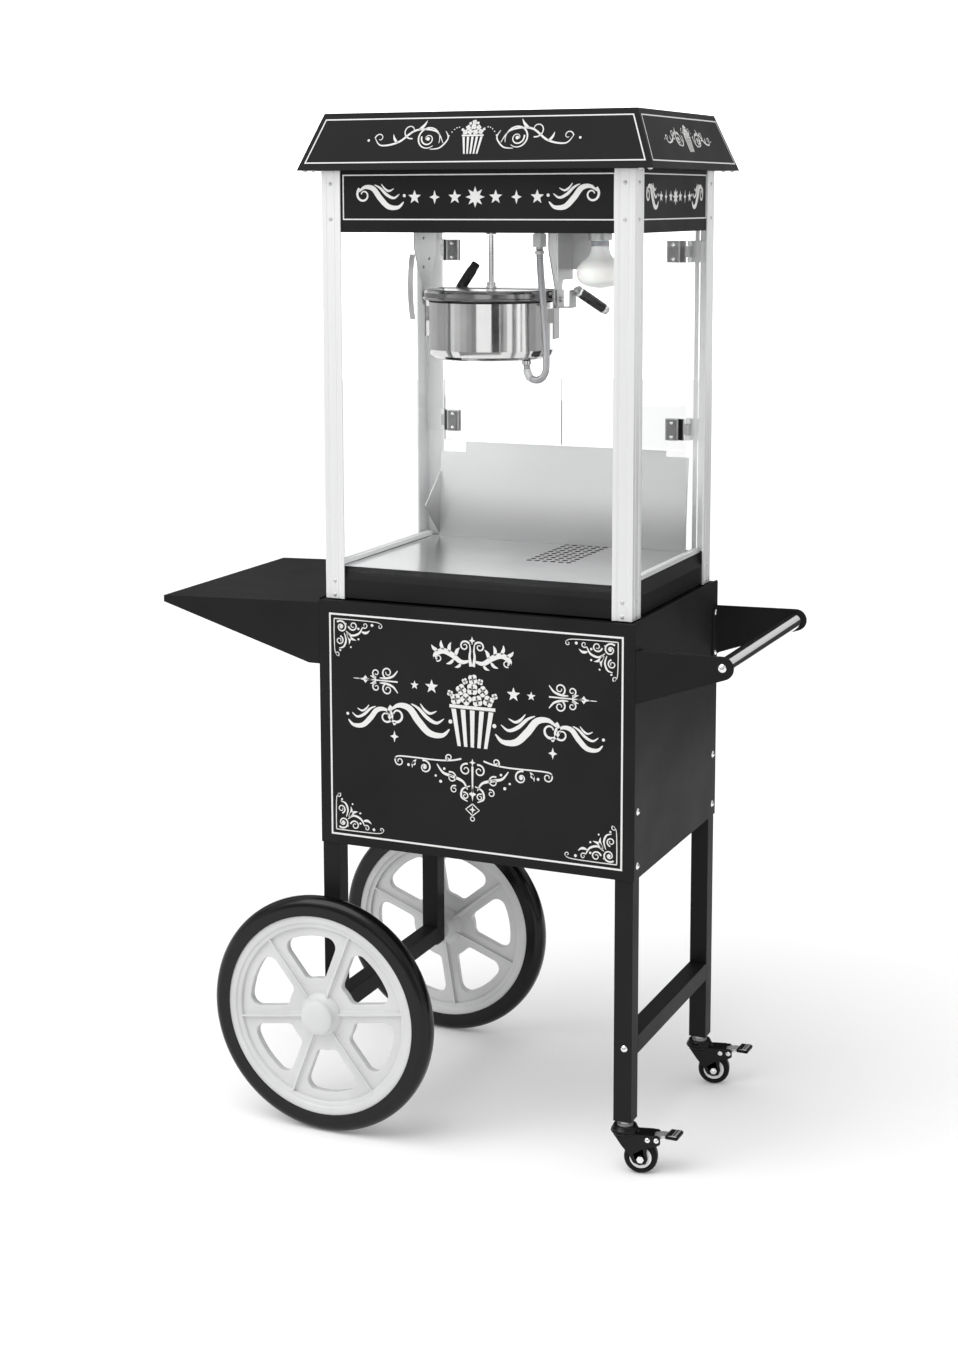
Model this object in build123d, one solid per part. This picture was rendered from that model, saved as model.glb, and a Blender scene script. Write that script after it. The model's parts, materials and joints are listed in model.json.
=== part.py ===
from build123d import *
import os
from math import asin, atan2, cos, hypot, pi, radians, sin, tan

# Popcorn cart: a popping machine bolted on a wheeled cabinet with a handle and a side shelf.
# Millimetres. X runs along the cart towards the handle, Y from front to back, Z up from the floor.
# Shapes are drawn with X = 0 on the cabinet's middle and are shifted as they are written, so that
# the origin is under the middle of the whole cart.

# Cabinet and frame
cabinet_w = 508.0
cabinet_d = 386.0
cabinet_bottom = 448.0
cabinet_top = 826.0
sheet = 1.5
half_w = cabinet_w / 2
half_d = cabinet_d / 2
tube = 28.0
tube_wall = 1.5
leg_inset = 1.7
leg_x = half_w - leg_inset - tube / 2
leg_y = half_d - leg_inset - tube / 2
right_leg_bottom = 80.0
left_leg_bottom = 172.0
bolt_r = 4.0

# Big wheels
wheel_r = 186.0
wheel_plane = half_d + 32.0
tyre_w = 32.0
tyre_inner_r = 158.0
axle_r = 6.0
running_gap = 0.06
front_spoke_turn = 9.0
rear_spoke_turn = 21.0

# Casters
caster_wheel_r = 25.0
caster_trail = 24.0
caster_rest_turn = 14.0
brake_pivot_x = 34.0
brake_pivot_z = 54.0

# Side shelf and handle
shelf_reach = 274.0
shelf_root_z = 822.0
shelf_tip_z = 813.0
handle_x = half_w + 128.0
handle_z = 774.0
handle_end_r = 17.0
handle_bar_r = 12.0
bracket_low = 711.0
bracket_high = 788.0

# Popping machine: base, corner posts, header and roof
machine_y = -4.0
post_outer_w = 491.0
post_outer_d = 360.0
post_front_w = 31.0
post_side_w = 35.0
post_wall = 2.0
post_bottom = 828.0
floor_top = 877.0
header_bottom = 1377.0
header_top = 1467.0
deck_plate_z = 1392.0
roof_bottom_w = 554.0
roof_bottom_d = 404.0
roof_top_w = 488.0
roof_top_d = 347.0
roof_top_z = 1550.0
shell_w = post_outer_w - 2 * post_wall
shell_d = post_outer_d - 2 * post_wall
shell_x = shell_w / 2
shell_front = machine_y - shell_d / 2
shell_back = machine_y + shell_d / 2
post_x = post_outer_w / 2
post_front = machine_y - post_outer_d / 2
post_back = machine_y + post_outer_d / 2
skin = 1.2
glass_t = 3.0

# Kettle
kettle_x = -50.0
kettle_r = 95.0
rim_r = 104.0
kettle_bottom = 1184.0
rim_top = 1278.0
pivot_z = 1276.0
lid_top = 1290.0
stirrer_top = 1377.0

# Doors
door_bottom = 1036.0
door_top = 1374.0
door_pivot_x = 209.0
door_pivot_y = 166.0
cabinet_hinge_x = -249.0
cabinet_hinge_y = 197.0
cabinet_hinge_z = (510, 690)

origin_shift = (shelf_reach - (handle_x + handle_end_r - half_w)) / 2

os.makedirs("parts", exist_ok=True)


def save(name, *shapes):
    """Write one node: its separate solids stay separate."""
    moved = [Pos(origin_shift, 0, 0) * shape for shape in shapes]
    solids = [solid for shape in moved for solid in shape.solids()]
    export_step(solids[0] if len(solids) == 1 else Compound(children=solids), f"parts/{name}.step")


def block(x, y, z):
    """A box from three (low, high) pairs."""
    size = [high - low for low, high in (x, y, z)]
    middle = [(high + low) / 2 for low, high in (x, y, z)]
    return Pos(*middle) * Box(*size)


def rod_x(x, y, z, r):
    return Pos((x[0] + x[1]) / 2, y, z) * Rot(0, 90, 0) * Cylinder(r, x[1] - x[0])


def rod_y(x, y, z, r):
    return Pos(x, (y[0] + y[1]) / 2, z) * Rot(90, 0, 0) * Cylinder(r, y[1] - y[0])


def rod_z(x, y, z, r):
    return Pos(x, y, (z[0] + z[1]) / 2) * Cylinder(r, z[1] - z[0])


def plate_xz(points, y):
    """A plate drawn in X and Z, between two Y values."""
    outline = Polyline([(px, y[0], pz) for px, pz in points], close=True)
    return extrude(make_face(outline), amount=y[1] - y[0], dir=(0, 1, 0))


def plate_yz(points, x):
    outline = Polyline([(x[0], py, pz) for py, pz in points], close=True)
    return extrude(make_face(outline), amount=x[1] - x[0], dir=(1, 0, 0))


def plate_xy(points, z):
    outline = Polyline([(px, py, z[0]) for px, py in points], close=True)
    return extrude(make_face(outline), amount=z[1] - z[0], dir=(0, 0, 1))


def turned(points):
    """A solid of revolution about Z from (radius, height) points."""
    outline = Polyline([(r, 0, z) for r, z in points], close=True)
    return revolve(make_face(outline), Axis.Z)


def mirrored_x(shape):
    return mirror(shape, about=Plane.YZ)


def square_tube(x, y, z):
    """A hollow square tube along its longest side."""
    spans = [x, y, z]
    longest = max(range(3), key=lambda i: spans[i][1] - spans[i][0])
    inner = [s if i == longest else (s[0] + tube_wall, s[1] - tube_wall) for i, s in enumerate(spans)]
    return block(*spans) - block(*inner)


def dome_head(r, height):
    """A domed bolt head on the XY plane, its dome towards +Z."""
    ball_r = (r * r + height * height) / (2 * height)
    cap = Pos(0, 0, height - ball_r) * Sphere(ball_r)
    return cap & Pos(0, 0, height / 2) * Cylinder(r, height)


def dome_bolt(place, direction, r, height, shank_r, shank):
    """A domed head at a place with its shank behind it."""
    bolt = dome_head(r, height) + Pos(0, 0, -shank / 2) * Cylinder(shank_r, shank)
    return Plane(origin=place, z_dir=direction).location * bolt


# Cabinet


def front_panel():
    x = (-half_w, half_w)
    panel = block(x, (-half_d, -half_d + sheet), (cabinet_bottom, cabinet_top))
    for low in (cabinet_bottom, cabinet_top - 2 * sheet):
        panel += block((-leg_x + 15, leg_x - 15), (-half_d, -half_d + 16), (low, low + sheet))
    return panel


def side_panel(side):
    outer = side * half_w
    inner = side * (half_w - sheet)
    x = (min(outer, inner), max(outer, inner))
    panel = block(x, (-half_d + sheet, half_d), (cabinet_bottom, cabinet_top + 3))
    back_corner = panel.edges().filter_by(Axis.X).sort_by(lambda edge: edge.center().Y + edge.center().Z)[-1]
    panel = fillet(back_corner, 6)
    lip_x = sorted((outer, side * (half_w - 16)))
    return panel + block(lip_x, (-leg_y + 15, leg_y - 15), (cabinet_bottom, cabinet_bottom + sheet))


def cabinet_deck():
    x = half_w - sheet - 0.2
    return block((-x, x), (-half_d + sheet + 0.2, half_d), (cabinet_top - sheet, cabinet_top))


def cabinet_floor():
    """Floor sheet with a notch round each leg."""
    x = half_w - sheet - 0.2
    low = cabinet_bottom + sheet + 0.1
    floor = block((-x, x), (-half_d + sheet + 0.2, half_d - 2), (low, low + sheet))
    notch = tube + 1
    for side in (-1, 1):
        for end in (-1, 1):
            floor -= Pos(side * leg_x, end * leg_y, low) * Box(notch, notch, 10)
    return floor


def legs(side, bottom):
    """Front and back leg of one side; the legs at the axle are drilled for it."""
    x = side * leg_x
    pair = []
    for end in (-1, 1):
        y = end * leg_y
        span_x = (x - tube / 2, x + tube / 2)
        span_y = (y - tube / 2, y + tube / 2)
        leg = square_tube(span_x, span_y, (bottom, cabinet_top - 2 * sheet - 0.5))
        if side < 0:
            leg -= rod_y(x, (y - tube, y + tube), wheel_r, axle_r + 0.1)
        pair.append(leg)
    return pair


def stretcher(side, bottom):
    x = side * leg_x
    inner = leg_y - tube / 2
    return square_tube((x - tube / 2, x + tube / 2), (-inner, inner), (bottom, bottom + tube))


def leg_plugs():
    """Plastic plugs in the left legs, threaded caster inserts in the right legs."""
    plugs = []
    fit = tube / 2 - tube_wall - 0.05
    for side, bottom in ((-1, left_leg_bottom), (1, right_leg_bottom)):
        for end in (-1, 1):
            x = side * leg_x
            y = end * leg_y
            if side < 0:
                plug = block((x - 14, x + 14), (y - 14, y + 14), (bottom - 2.5, bottom))
                plug += block((x - fit, x + fit), (y - fit, y + fit), (bottom, bottom + 5))
            else:
                plug = block((x - fit, x + fit), (y - fit, y + fit), (bottom, bottom + 26))
                plug -= rod_z(x, y, (bottom - 1, bottom + 27), 5.02)
            plugs.append(plug)
    return plugs


def axle():
    end = wheel_plane + 22
    return rod_y(-leg_x, (-end, end), wheel_r, axle_r)


def cart_bolts():
    """Domed bolts of the cabinet and handle, and the axle's washers and nuts."""
    bolts = []
    shank = 2 * sheet + 1
    side_places = [(leg_y, 468), (leg_y, 549), (-leg_y, 549), (-leg_y, 468)]
    for side in (-1, 1):
        for y, z in side_places:
            bolts.append(dome_bolt((side * half_w, y, z), (side, 0, 0), 5.5, 3, 2.5, shank))
    for end in (-1, 1):
        for z in (716, 779):
            place = (half_w + 2, end * (leg_y - 1), z)
            bolts.append(dome_bolt(place, (1, 0, 0), 5.5, 3, 2.5, 5))
        place = (leg_x + 2, end * (leg_y + tube / 2), 193)
        bolts.append(dome_bolt(place, (0, end, 0), 5.5, 3.2, 3, 6))
        place = (handle_x, end * half_d, handle_z)
        bolts.append(dome_bolt(place, (0, end, 0), 6.5, 3.5, bolt_r, 2.8))
        leg_face = leg_y + tube / 2
        hub_face = wheel_plane - 28
        washer_y = sorted((end * (leg_face + 0.3), end * (hub_face - 0.3)))
        washer = rod_y(-leg_x, washer_y, wheel_r, 12) - rod_y(-leg_x, washer_y, wheel_r, axle_r)
        nut_y = sorted((end * (wheel_plane + 16.5), end * (wheel_plane + 21)))
        nut = rod_y(-leg_x, nut_y, wheel_r, 10) - rod_y(-leg_x, nut_y, wheel_r, axle_r)
        bolts += [washer, nut]
    return bolts


# Big wheels, drawn with the axle along Z and the outer face towards +Z


def wheel_frame(end):
    """The place of a wheel: end is -1 for the front wheel and 1 for the back one."""
    turn = 0 if end < 0 else 180
    spoke_turn = front_spoke_turn if end < 0 else rear_spoke_turn
    return Pos(-leg_x, end * wheel_plane, wheel_r) * Rot(0, 0, turn) * Rot(90, 0, 0) * Rot(0, 0, spoke_turn)


def tyre():
    width = wheel_r - tyre_inner_r
    section = Plane.XZ * Pos(tyre_inner_r + width / 2, 0) * Rectangle(width, tyre_w)
    outer = section.vertices().sort_by(Axis.X)[2:]
    section = fillet(outer, 14)
    return revolve(section, Axis.Z)


def spoke_windows():
    """The six rounded openings between the spokes, as one flat sketch."""
    windows = Circle(124) - Circle(57)
    for turn in (0, 60, 120):
        windows -= Rot(0, 0, turn) * Rectangle(260, 29)
    corners = windows.vertices().sort_by(SortBy.DISTANCE)
    windows = fillet(corners[12:], 15)
    corners = windows.vertices().sort_by(SortBy.DISTANCE)
    return fillet(corners[:12], 10)


def wheel_body():
    rim_points = [
        (139, -8), (139, 10), (143, 13.5), (tyre_inner_r, 13.5), (tyre_inner_r, -13.5), (143, -13.5),
    ]
    body = turned(rim_points)
    body += extrude(Circle(141) - spoke_windows(), amount=6, both=True)
    for turn in range(0, 360, 60):
        body += Rot(0, 0, turn) * block((24, 142), (-1.5, 1.5), (-11.5, 11.5))
    hub_points = [
        (0, -28), (20, -28), (24, -12), (34, -9), (34, 9), (30, 13), (27.5, 16), (26.5, 22), (25, 24.5),
        (17, 27.3), (8, 28.6), (0, 29),
    ]
    body += turned(hub_points)
    cavity = Pos(0, 0, 20.3) * Cylinder(12, 8.6)
    bore = Pos(0, 0, -6) * Cylinder(axle_r + running_gap, 46)
    return body - cavity - bore


# Casters, drawn with the swivel axis on Z and the wheel trailing towards +X


def caster_place(end):
    return Pos(leg_x, end * leg_y, 0) * Rot(0, 0, caster_rest_turn)


def caster_stem():
    stem = rod_z(0, 0, (54, 104), 5)
    stem += rod_z(0, 0, (54, 57), 8)
    stem += Pos(0, 0, 77) * extrude(RegularPolygon(9.5, 6), amount=2.6, both=True)
    return stem + rod_z(0, 0, (71.6, 74.5), 12)


def caster_cheek():
    """One side plate of the fork, between the swivel and the wheel bolt."""
    outline = make_face(Polyline(
        (-16, 61.5), (-12.5, 56), (-4.4, 44), (3, 35), (9, 27), (13.5, 18.5), (22.5, 15), (32, 17), (35, 25),
        (33, 34), (34.5, 43), (45, 44), (53, 49), (53, 58), (49, 61.5), close=True,
    ))
    return fillet(outline.vertices().sort_by(Axis.Y)[:12], 2)


def caster_fork():
    cheek = extrude(Plane.XZ * caster_cheek(), amount=2.5)
    fork = Pos(0, -11, 0) * cheek + Pos(0, 13.5, 0) * cheek
    fork += block((-16, 44), (-13.5, 13.5), (59, 62)) & rod_z(14, 0, (50, 70), 32)
    fork += turned([(0, 58), (16, 58), (20, 62), (20, 67), (17, 71), (0, 71)])
    fork -= rod_z(0, 0, (50, 80), 5.06)
    fork -= rod_z(0, 0, (48, 58), 10)
    bolt = rod_y(caster_trail, (-13.5, 13.5), caster_wheel_r, 3)
    fork += rod_y(brake_pivot_x, (-12, 12), brake_pivot_z, 1.6)
    for end in (-1, 1):
        head = dome_bolt((caster_trail, end * 13.5, caster_wheel_r), (0, end, 0), 5.5, 3, 1, 1)
        bolt += head
        fork -= rod_y(caster_trail, sorted((end * 10, end * 15)), caster_wheel_r, 3)
        for x in (brake_pivot_x, brake_pivot_x + 13):
            rivet = dome_bolt((x, end * 13.5, brake_pivot_z), (0, end, 0), 3.6, 1.6, 1, 1)
            fork += rivet
    return [fork, bolt]


def caster_wheel():
    section = Plane.XZ * Pos(caster_wheel_r / 2, 0) * Rectangle(caster_wheel_r, 19)
    section = fillet(section.vertices().sort_by(Axis.X)[2:], 5)
    wheel = revolve(section, Axis.Z) - Cylinder(3.06, 30)
    wheel -= Pos(0, 0, 9.5) * (Cylinder(17.5, 2.4) - Cylinder(6, 2.4))
    wheel -= Pos(0, 0, -9.5) * (Cylinder(17.5, 2.4) - Cylinder(6, 2.4))
    return Pos(caster_trail, 0, caster_wheel_r) * Rot(90, 0, 0) * wheel


def caster_brake():
    """Foot lever with its shoe over the tread; it turns on the fork's first rivet."""
    lever = plate_xz([(36, 54), (36, 57.5), (56, 61), (74, 60), (74, 57.5), (57, 57.5), (48, 54)], (-9, 9))
    lever += plate_xz([(34, 52), (36, 57), (50, 57.5), (50, 49), (44.5, 45.8), (42.5, 47)], (-7, 7))
    lever += rod_y(brake_pivot_x, (-7, 7), brake_pivot_z, 3.4)
    lever += plate_xy([(61, -12.5), (76, -12.5), (83, 12.5), (68, 12.5)], (57, 63))
    return lever - rod_y(brake_pivot_x, (-10, 10), brake_pivot_z, 1.66)


# Shelf and handle


def side_shelf():
    """One folded sheet: a top with two tapering flanges, a tip lip and a bolting flange."""
    root = -half_w
    tip = -half_w - shelf_reach
    drop = shelf_root_z - shelf_tip_z
    top = plate_xz(
        [(root, shelf_root_z), (tip, shelf_tip_z), (tip, shelf_tip_z - sheet), (root, shelf_root_z - sheet)],
        (-half_d, half_d),
    )
    flange_points = [
        (root, shelf_root_z), (tip, shelf_tip_z), (tip, shelf_tip_z - 10),
        (root - 18, shelf_root_z - 95), (root, shelf_root_z - 95),
    ]
    shelf = top
    for y in (-half_d, half_d - sheet):
        shelf += plate_xz(flange_points, (y, y + sheet))
    shelf += block((tip, tip + sheet), (-half_d, half_d), (shelf_tip_z - 10, shelf_tip_z - 0.02))
    shelf += block((root - sheet, root), (-half_d, half_d), (shelf_root_z - 95, shelf_root_z - drop / 9))
    return shelf


def handle_bracket(end):
    """A plate that tapers to a round nose, with a flange folded against the cabinet."""
    start = half_w + 0.2
    reach = handle_x - start
    drop = handle_z - bracket_low
    slope = atan2(drop, reach) - asin(handle_end_r / hypot(reach, drop))
    top_touch = (handle_x, handle_z + handle_end_r)
    low_touch = (handle_x + handle_end_r * sin(slope), handle_z - handle_end_r * cos(slope))
    outline = [(start, bracket_low), (start, bracket_high), top_touch, (handle_x, handle_z), low_touch]
    y = sorted((end * half_d, end * (half_d - 3)))
    plate = plate_xz(outline, y) + rod_y(handle_x, y, handle_z, handle_end_r)
    flange_y = sorted((end * half_d, end * (half_d - 28)))
    plate += block((start, start + 2.5), flange_y, (bracket_low, bracket_high - 2))
    return plate - rod_y(handle_x, y, handle_z, bolt_r + 0.1)


def handle_bar():
    span = (-half_d + 3, half_d - 3)
    return rod_y(handle_x, span, handle_z, handle_bar_r) - rod_y(handle_x, span, handle_z, handle_bar_r - 1.5)


# Cabinet door at the back


def cabinet_door():
    x = half_w - sheet - 1.5
    door = block((-x + 3, x), (half_d - 1.4, half_d), (cabinet_bottom + 4, cabinet_top - 5))
    knob_z = (cabinet_bottom + cabinet_top) / 2 + 60
    knob = turned([(0, 0), (6, 0), (6, 8), (12, 12), (13, 16), (11, 19), (0, 20)])
    door += Pos(x - 28, half_d, knob_z) * Rot(-90, 0, 0) * knob
    for z in cabinet_hinge_z:
        door += block((cabinet_hinge_x, -x + 24), (half_d, half_d + 1.2), (z - 9.5, z + 9.5))
        leaf = block((cabinet_hinge_x, cabinet_hinge_x + 4), (half_d, cabinet_hinge_y), (z - 9.5, z + 9.5))
        door += leaf + rod_z(cabinet_hinge_x, cabinet_hinge_y, (z - 9.5, z + 9.5), 3.6)
        door -= rod_z(cabinet_hinge_x, cabinet_hinge_y, (z - 10, z + 10), 2.06)
    return door


def cabinet_hinges():
    """Fixed halves of the two cabinet hinges, each with its pin."""
    hinges = []
    for z in cabinet_hinge_z:
        hinge = rod_z(cabinet_hinge_x, cabinet_hinge_y, (z - 20, z + 20), 2)
        for low in (z - 20, z + 10):
            span = (low, low + 10)
            hinge += rod_z(cabinet_hinge_x, cabinet_hinge_y, span, 3.6)
            hinge += block((-half_w, cabinet_hinge_x - 1), (half_d + 0.2, cabinet_hinge_y), span)
        hinge += block((-half_w - 1.4, -half_w - 0.1), (half_d - 22, cabinet_hinge_y), (z - 20, z + 20))
        hinge += block((-half_w - 1.4, -half_w + 2), (half_d + 0.2, cabinet_hinge_y), (z - 20, z - 10))
        hinge += block((-half_w - 1.4, -half_w + 2), (half_d + 0.2, cabinet_hinge_y), (z + 10, z + 20))
        hinges.append(hinge)
    return hinges


# Machine base


def base_shell():
    """Open black box: straight band, chamfered band above it, a bottom and a drawer opening."""
    outer = block((-shell_x, shell_x), (shell_front, shell_back), (post_bottom + 2, 858))
    inset = 8
    top = Pos(0, machine_y, floor_top) * Rectangle(shell_w - 2 * inset, shell_d - 2 * inset)
    low = Pos(0, machine_y, 858) * Rectangle(shell_w, shell_d)
    outer += loft([low, top])
    inner_x = (-shell_x + skin, shell_x - skin)
    inner = block(inner_x, (shell_front + skin, shell_back - skin), (post_bottom + 4, 857.6))
    wall = 2 * (skin + inset)
    inner_low = Pos(0, machine_y, 857.5) * Rectangle(shell_w - 2 * skin, shell_d - 2 * skin)
    inner_top = Pos(0, machine_y, floor_top + 1) * Rectangle(shell_w - wall, shell_d - wall)
    opening = block((-12.6, 112.6), (shell_back - 12, shell_back + 5), (834.6, 857.5))
    return outer - inner - loft([inner_low, inner_top]) - opening


def popping_floor():
    wall = skin + 8.2
    floor = block(
        (-shell_x + wall, shell_x - wall), (shell_front + wall, shell_back - wall), (floor_top - 2, floor_top - 0.5),
    )
    for column in range(6):
        for row in range(10):
            place = Pos(17 + 13 * column, -14 + 17.5 * row, floor_top - 1.25)
            floor -= place * Cylinder(4, 4)
    return floor


def glass_channels():
    """U-shaped aluminium sills that carry the fixed panes."""
    sills = []
    inner = shell_x - 8 - 10
    depth = (post_front + 20, post_back - 22)
    sill = block((inner, inner + 10), depth, (floor_top + 0.2, floor_top + 7))
    sill -= block((inner + 3.3, inner + 6.7), depth, (floor_top + 2, floor_top + 8))
    sills += [sill, mirrored_x(sill)]
    return sills


def crumb_drawer():
    """Open tray under the perforated floor, with a flat front and a folded pull."""
    front = shell_back - 0.2
    outer = block((-10, 110), (-30, front - 1), (836, 856))
    drawer = outer - block((-8.8, 108.8), (-28.8, front - 2.2), (837.2, 857))
    drawer += block((-12, 112), (front - 1.8, front), (835, 857))
    drawer += block((40, 60), (front, front + 12), (848, 850))
    return drawer + block((40, 60), (front + 10, front + 12), (842, 850))


def popcorn_guard():
    """Stainless sheet that closes the low part of the back, with two bent wings."""
    low_y = post_back - 24
    high_y = post_back - 10
    low_z = floor_top - 0.4
    profile = [(low_y, low_z), (low_y + 2, 940), (high_y - 5, 985), (high_y, 1033)]
    thick = [(y + 1.2, z) for y, z in reversed(profile)]
    guard = plate_yz(profile + thick, (-212, 212))
    guard -= block((-213, -168), (high_y - 20, high_y + 20), (1016, 1040))
    guard -= block((174, 213), (high_y - 20, high_y + 20), (1024, 1040))
    for side in (-1, 1):
        wing = Polyline(
            [(side * 211, low_y + 0.3, low_z + 2), (side * 211, low_y + 1.8, 985), (side * 222, low_y - 34, 930)],
            close=True,
        )
        guard += extrude(make_face(wing), amount=1.2, dir=(side, 0, 0))
    return guard


# Corner posts, glass, header and roof


def corner_post(side, end):
    """L-shaped extrusion with shallow grooves and lips that hold the panes."""
    w = post_front_w
    d = post_side_w
    t = post_wall
    outline = [
        (0, 0), (8, 0), (8, 0.7), (9.5, 0.7), (9.5, 0), (21, 0), (21, 0.7), (22.5, 0.7), (22.5, 0), (w, 0), (w, t),
        (t, t), (t, d), (0, d), (0, 25), (0.7, 25), (0.7, 23.5), (0, 23.5), (0, 10), (0.7, 10), (0.7, 8.5), (0, 8.5),
    ]
    edge_y = post_front if end < 0 else post_back
    points = [(side * (post_x - x), edge_y - end * y) for x, y in outline]
    return plate_xy(points, (post_bottom, header_top - 0.2))


def fixed_glass():
    z = (floor_top + 2.2, header_bottom + 12)
    front_y = shell_front + skin + 0.2
    front_z = (869, header_bottom + 12)
    x = shell_x - 6
    front = block((-x, x), (front_y, front_y + glass_t), front_z)
    side_x = shell_x - 8 - 10 + 3.5
    side = block((side_x, side_x + glass_t), (post_front + 22, post_back - 24), z)
    return [front, side, mirrored_x(side)]


def header_shell():
    outer = block((-shell_x, shell_x), (shell_front, shell_back), (header_bottom, header_top - 0.2))
    z = (header_bottom - 1, header_top + 1)
    inner = block((-shell_x + skin, shell_x - skin), (shell_front + skin, shell_back - skin), z)
    shell = outer - inner
    for x in (-70, 0, 70):
        shell -= block((x - 10.6, x + 10.6), (shell_back - 5, shell_back + 5), (1407, 1437))
    return shell - block((-184, -156), (shell_back - 5, shell_back + 5), (1411, 1433))


def header_plate():
    """Steel plate inside the header that carries the motor, kettle hangers and lamp."""
    x = shell_x - skin - 0.1
    y = (shell_front + skin + 0.1, shell_back - skin - 0.1)
    plate = block((-x, x), y, (deck_plate_z, deck_plate_z + 2))
    plate -= rod_z(kettle_x, machine_y, (1390, 1396), 9)
    return plate - rod_z(49, -53, (1390, 1396), 8)


def roof():
    """Hollow tapered roof, open underneath, with a narrow lip turned in at the eaves."""
    low = Pos(0, 0, header_top) * Rectangle(roof_bottom_w, roof_bottom_d)
    top = Pos(0, 0, roof_top_z) * Rectangle(roof_top_w, roof_top_d)
    outer = loft([low, top])
    inner_low = Pos(0, 0, header_top + skin) * Rectangle(roof_bottom_w - 5, roof_bottom_d - 5)
    inner_top = Pos(0, 0, roof_top_z - skin) * Rectangle(roof_top_w - 4, roof_top_d - 4)
    mouth = block((-225, 225), (-160, 160), (header_top - 1, header_top + 5))
    return outer - loft([inner_low, inner_top]) - mouth


def machine_screws():
    """Small domed screws: two levels on each flange at the header and at the base, and the roof's."""
    screws = []
    for side in (-1, 1):
        for end in (-1, 1):
            y = post_front if end < 0 else post_back
            for z in (834, 855, 1396, 1447):
                place = (side * (post_x - 15), y, z)
                screws.append(dome_bolt(place, (0, end, 0), 3, 1.6, 1.5, 4))
                place = (side * post_x, y - end * 17, z)
                screws.append(dome_bolt(place, (side, 0, 0), 3, 1.6, 1.5, 4))
            for step in (0, 14):
                place = (side * (roof_bottom_w / 2 - 8 - step), end * (roof_bottom_d / 2 - 12), header_top)
                screws.append(dome_bolt(place, (0, 0, -1), 4, 2.5, 1.5, 2))
    return screws


# Header contents


def gear_motor():
    motor = block((kettle_x - 42, kettle_x + 42), (machine_y - 30, machine_y + 46), (1400, 1424))
    motor += rod_z(kettle_x, machine_y + 16, (1424, 1462), 28)
    motor -= rod_z(kettle_x, machine_y, (1399, 1412), 5.06)
    for x in (-34, 34):
        for y in (-24, 38):
            motor += rod_z(kettle_x + x, machine_y + y, (deck_plate_z + 2, 1401), 4)
    return motor


def drive_shaft():
    """Gear motor output with a dog whose slot lets the stirrer's tang leave along Y."""
    shaft = rod_z(kettle_x, machine_y, (1372, 1392), 8) + rod_z(kettle_x, machine_y, (1390, 1411.5), 5)
    return shaft - block((kettle_x - 2.4, kettle_x + 2.4), (machine_y - 12, machine_y + 12), (1370, 1380))


def header_sockets():
    """Mains inlet and switch bodies at the back, cable box, and the kettle cable's socket."""
    inlet = block((-185, -155), (shell_back - 26, shell_back - skin), (1410, 1434))
    inlet += block((-188, -152), (shell_back, shell_back + 2.2), (1407, 1437))
    inlet += block((-183.9, -156.1), (shell_back - 3, shell_back), (1411.1, 1432.9))
    inlet -= block((-181, -159), (shell_back - 18, shell_back + 5), (1414, 1430))
    box = block((80, 140), (60, 110), (deck_plate_z + 2, 1420))
    socket = rod_z(49, -53, (1374, 1400), 7.6) + rod_z(49, -53, (1400, 1412), 12)
    socket += Pos(49, -53, 1364.3) * extrude(RegularPolygon(11, 6), amount=9.7, both=True)
    return [inlet, box, socket]


def hanger(x, low_width):
    """Sheet arm from the header plate down to a kettle pivot, with a folded top."""
    t = 2.0
    z = pivot_z
    outline = [
        (machine_y - 39, deck_plate_z - 0.1), (machine_y + 39, deck_plate_z - 0.1), (machine_y + 39, 1350),
        (machine_y + low_width, z + 18), (machine_y + low_width, z), (machine_y - low_width, z),
        (machine_y - low_width, z + 18), (machine_y - 39, 1350),
    ]
    arm = plate_yz(outline, (x, x + t)) + rod_x((x, x + t), machine_y, z, low_width)
    arm -= rod_x((x - 1, x + t + 1), machine_y, z, 4.06)
    fold = (x - 18, x) if x < kettle_x else (x + t, x + t + 18)
    return arm + block(fold, (machine_y - 39, machine_y + 39), (deck_plate_z - 2.1, deck_plate_z - 0.1))


def latch_spring(x):
    """Bowed leaf that holds the kettle level, fixed on the left hanger."""
    front = machine_y - 39
    bow = 8.0
    half = 50.0
    radius = (half * half + bow * bow) / (2 * bow)
    ring = rod_x((x - 7, x + 1.8), front + radius - bow, 1292, radius)
    ring -= rod_x((x - 8, x + 3), front + radius - bow, 1292, radius - 1)
    window = block((x - 9, x + 4), (front - bow - 1, front), (1243, 1341))
    foot = block((x - 7, x + 1.8), (front - 0.6, front + 0.4), (1336, 1342))
    return (ring & window) + foot


def lamp_socket():
    """Channel bracket under the header plate with the lamp holder."""
    bracket = block((100, 102), (-112, -52), (1308, deck_plate_z - 0.1))
    bracket += block((100, 146), (-54, -52), (1322, deck_plate_z - 0.1))
    bracket += block((100, 180), (-120, -52), (deck_plate_z - 2.1, deck_plate_z - 0.1))
    return bracket + rod_z(160, -93, (1366, deck_plate_z - 2.1), 17)


def lamp_bulb():
    points = [
        (0, 1366), (13, 1366), (13.5, 1356), (17, 1344), (28, 1334), (34, 1326), (35, 1319), (32, 1310),
        (24, 1302), (12, 1297.8), (0, 1297),
    ]
    return Pos(160, -93, 0) * turned(points)


# Kettle


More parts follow.
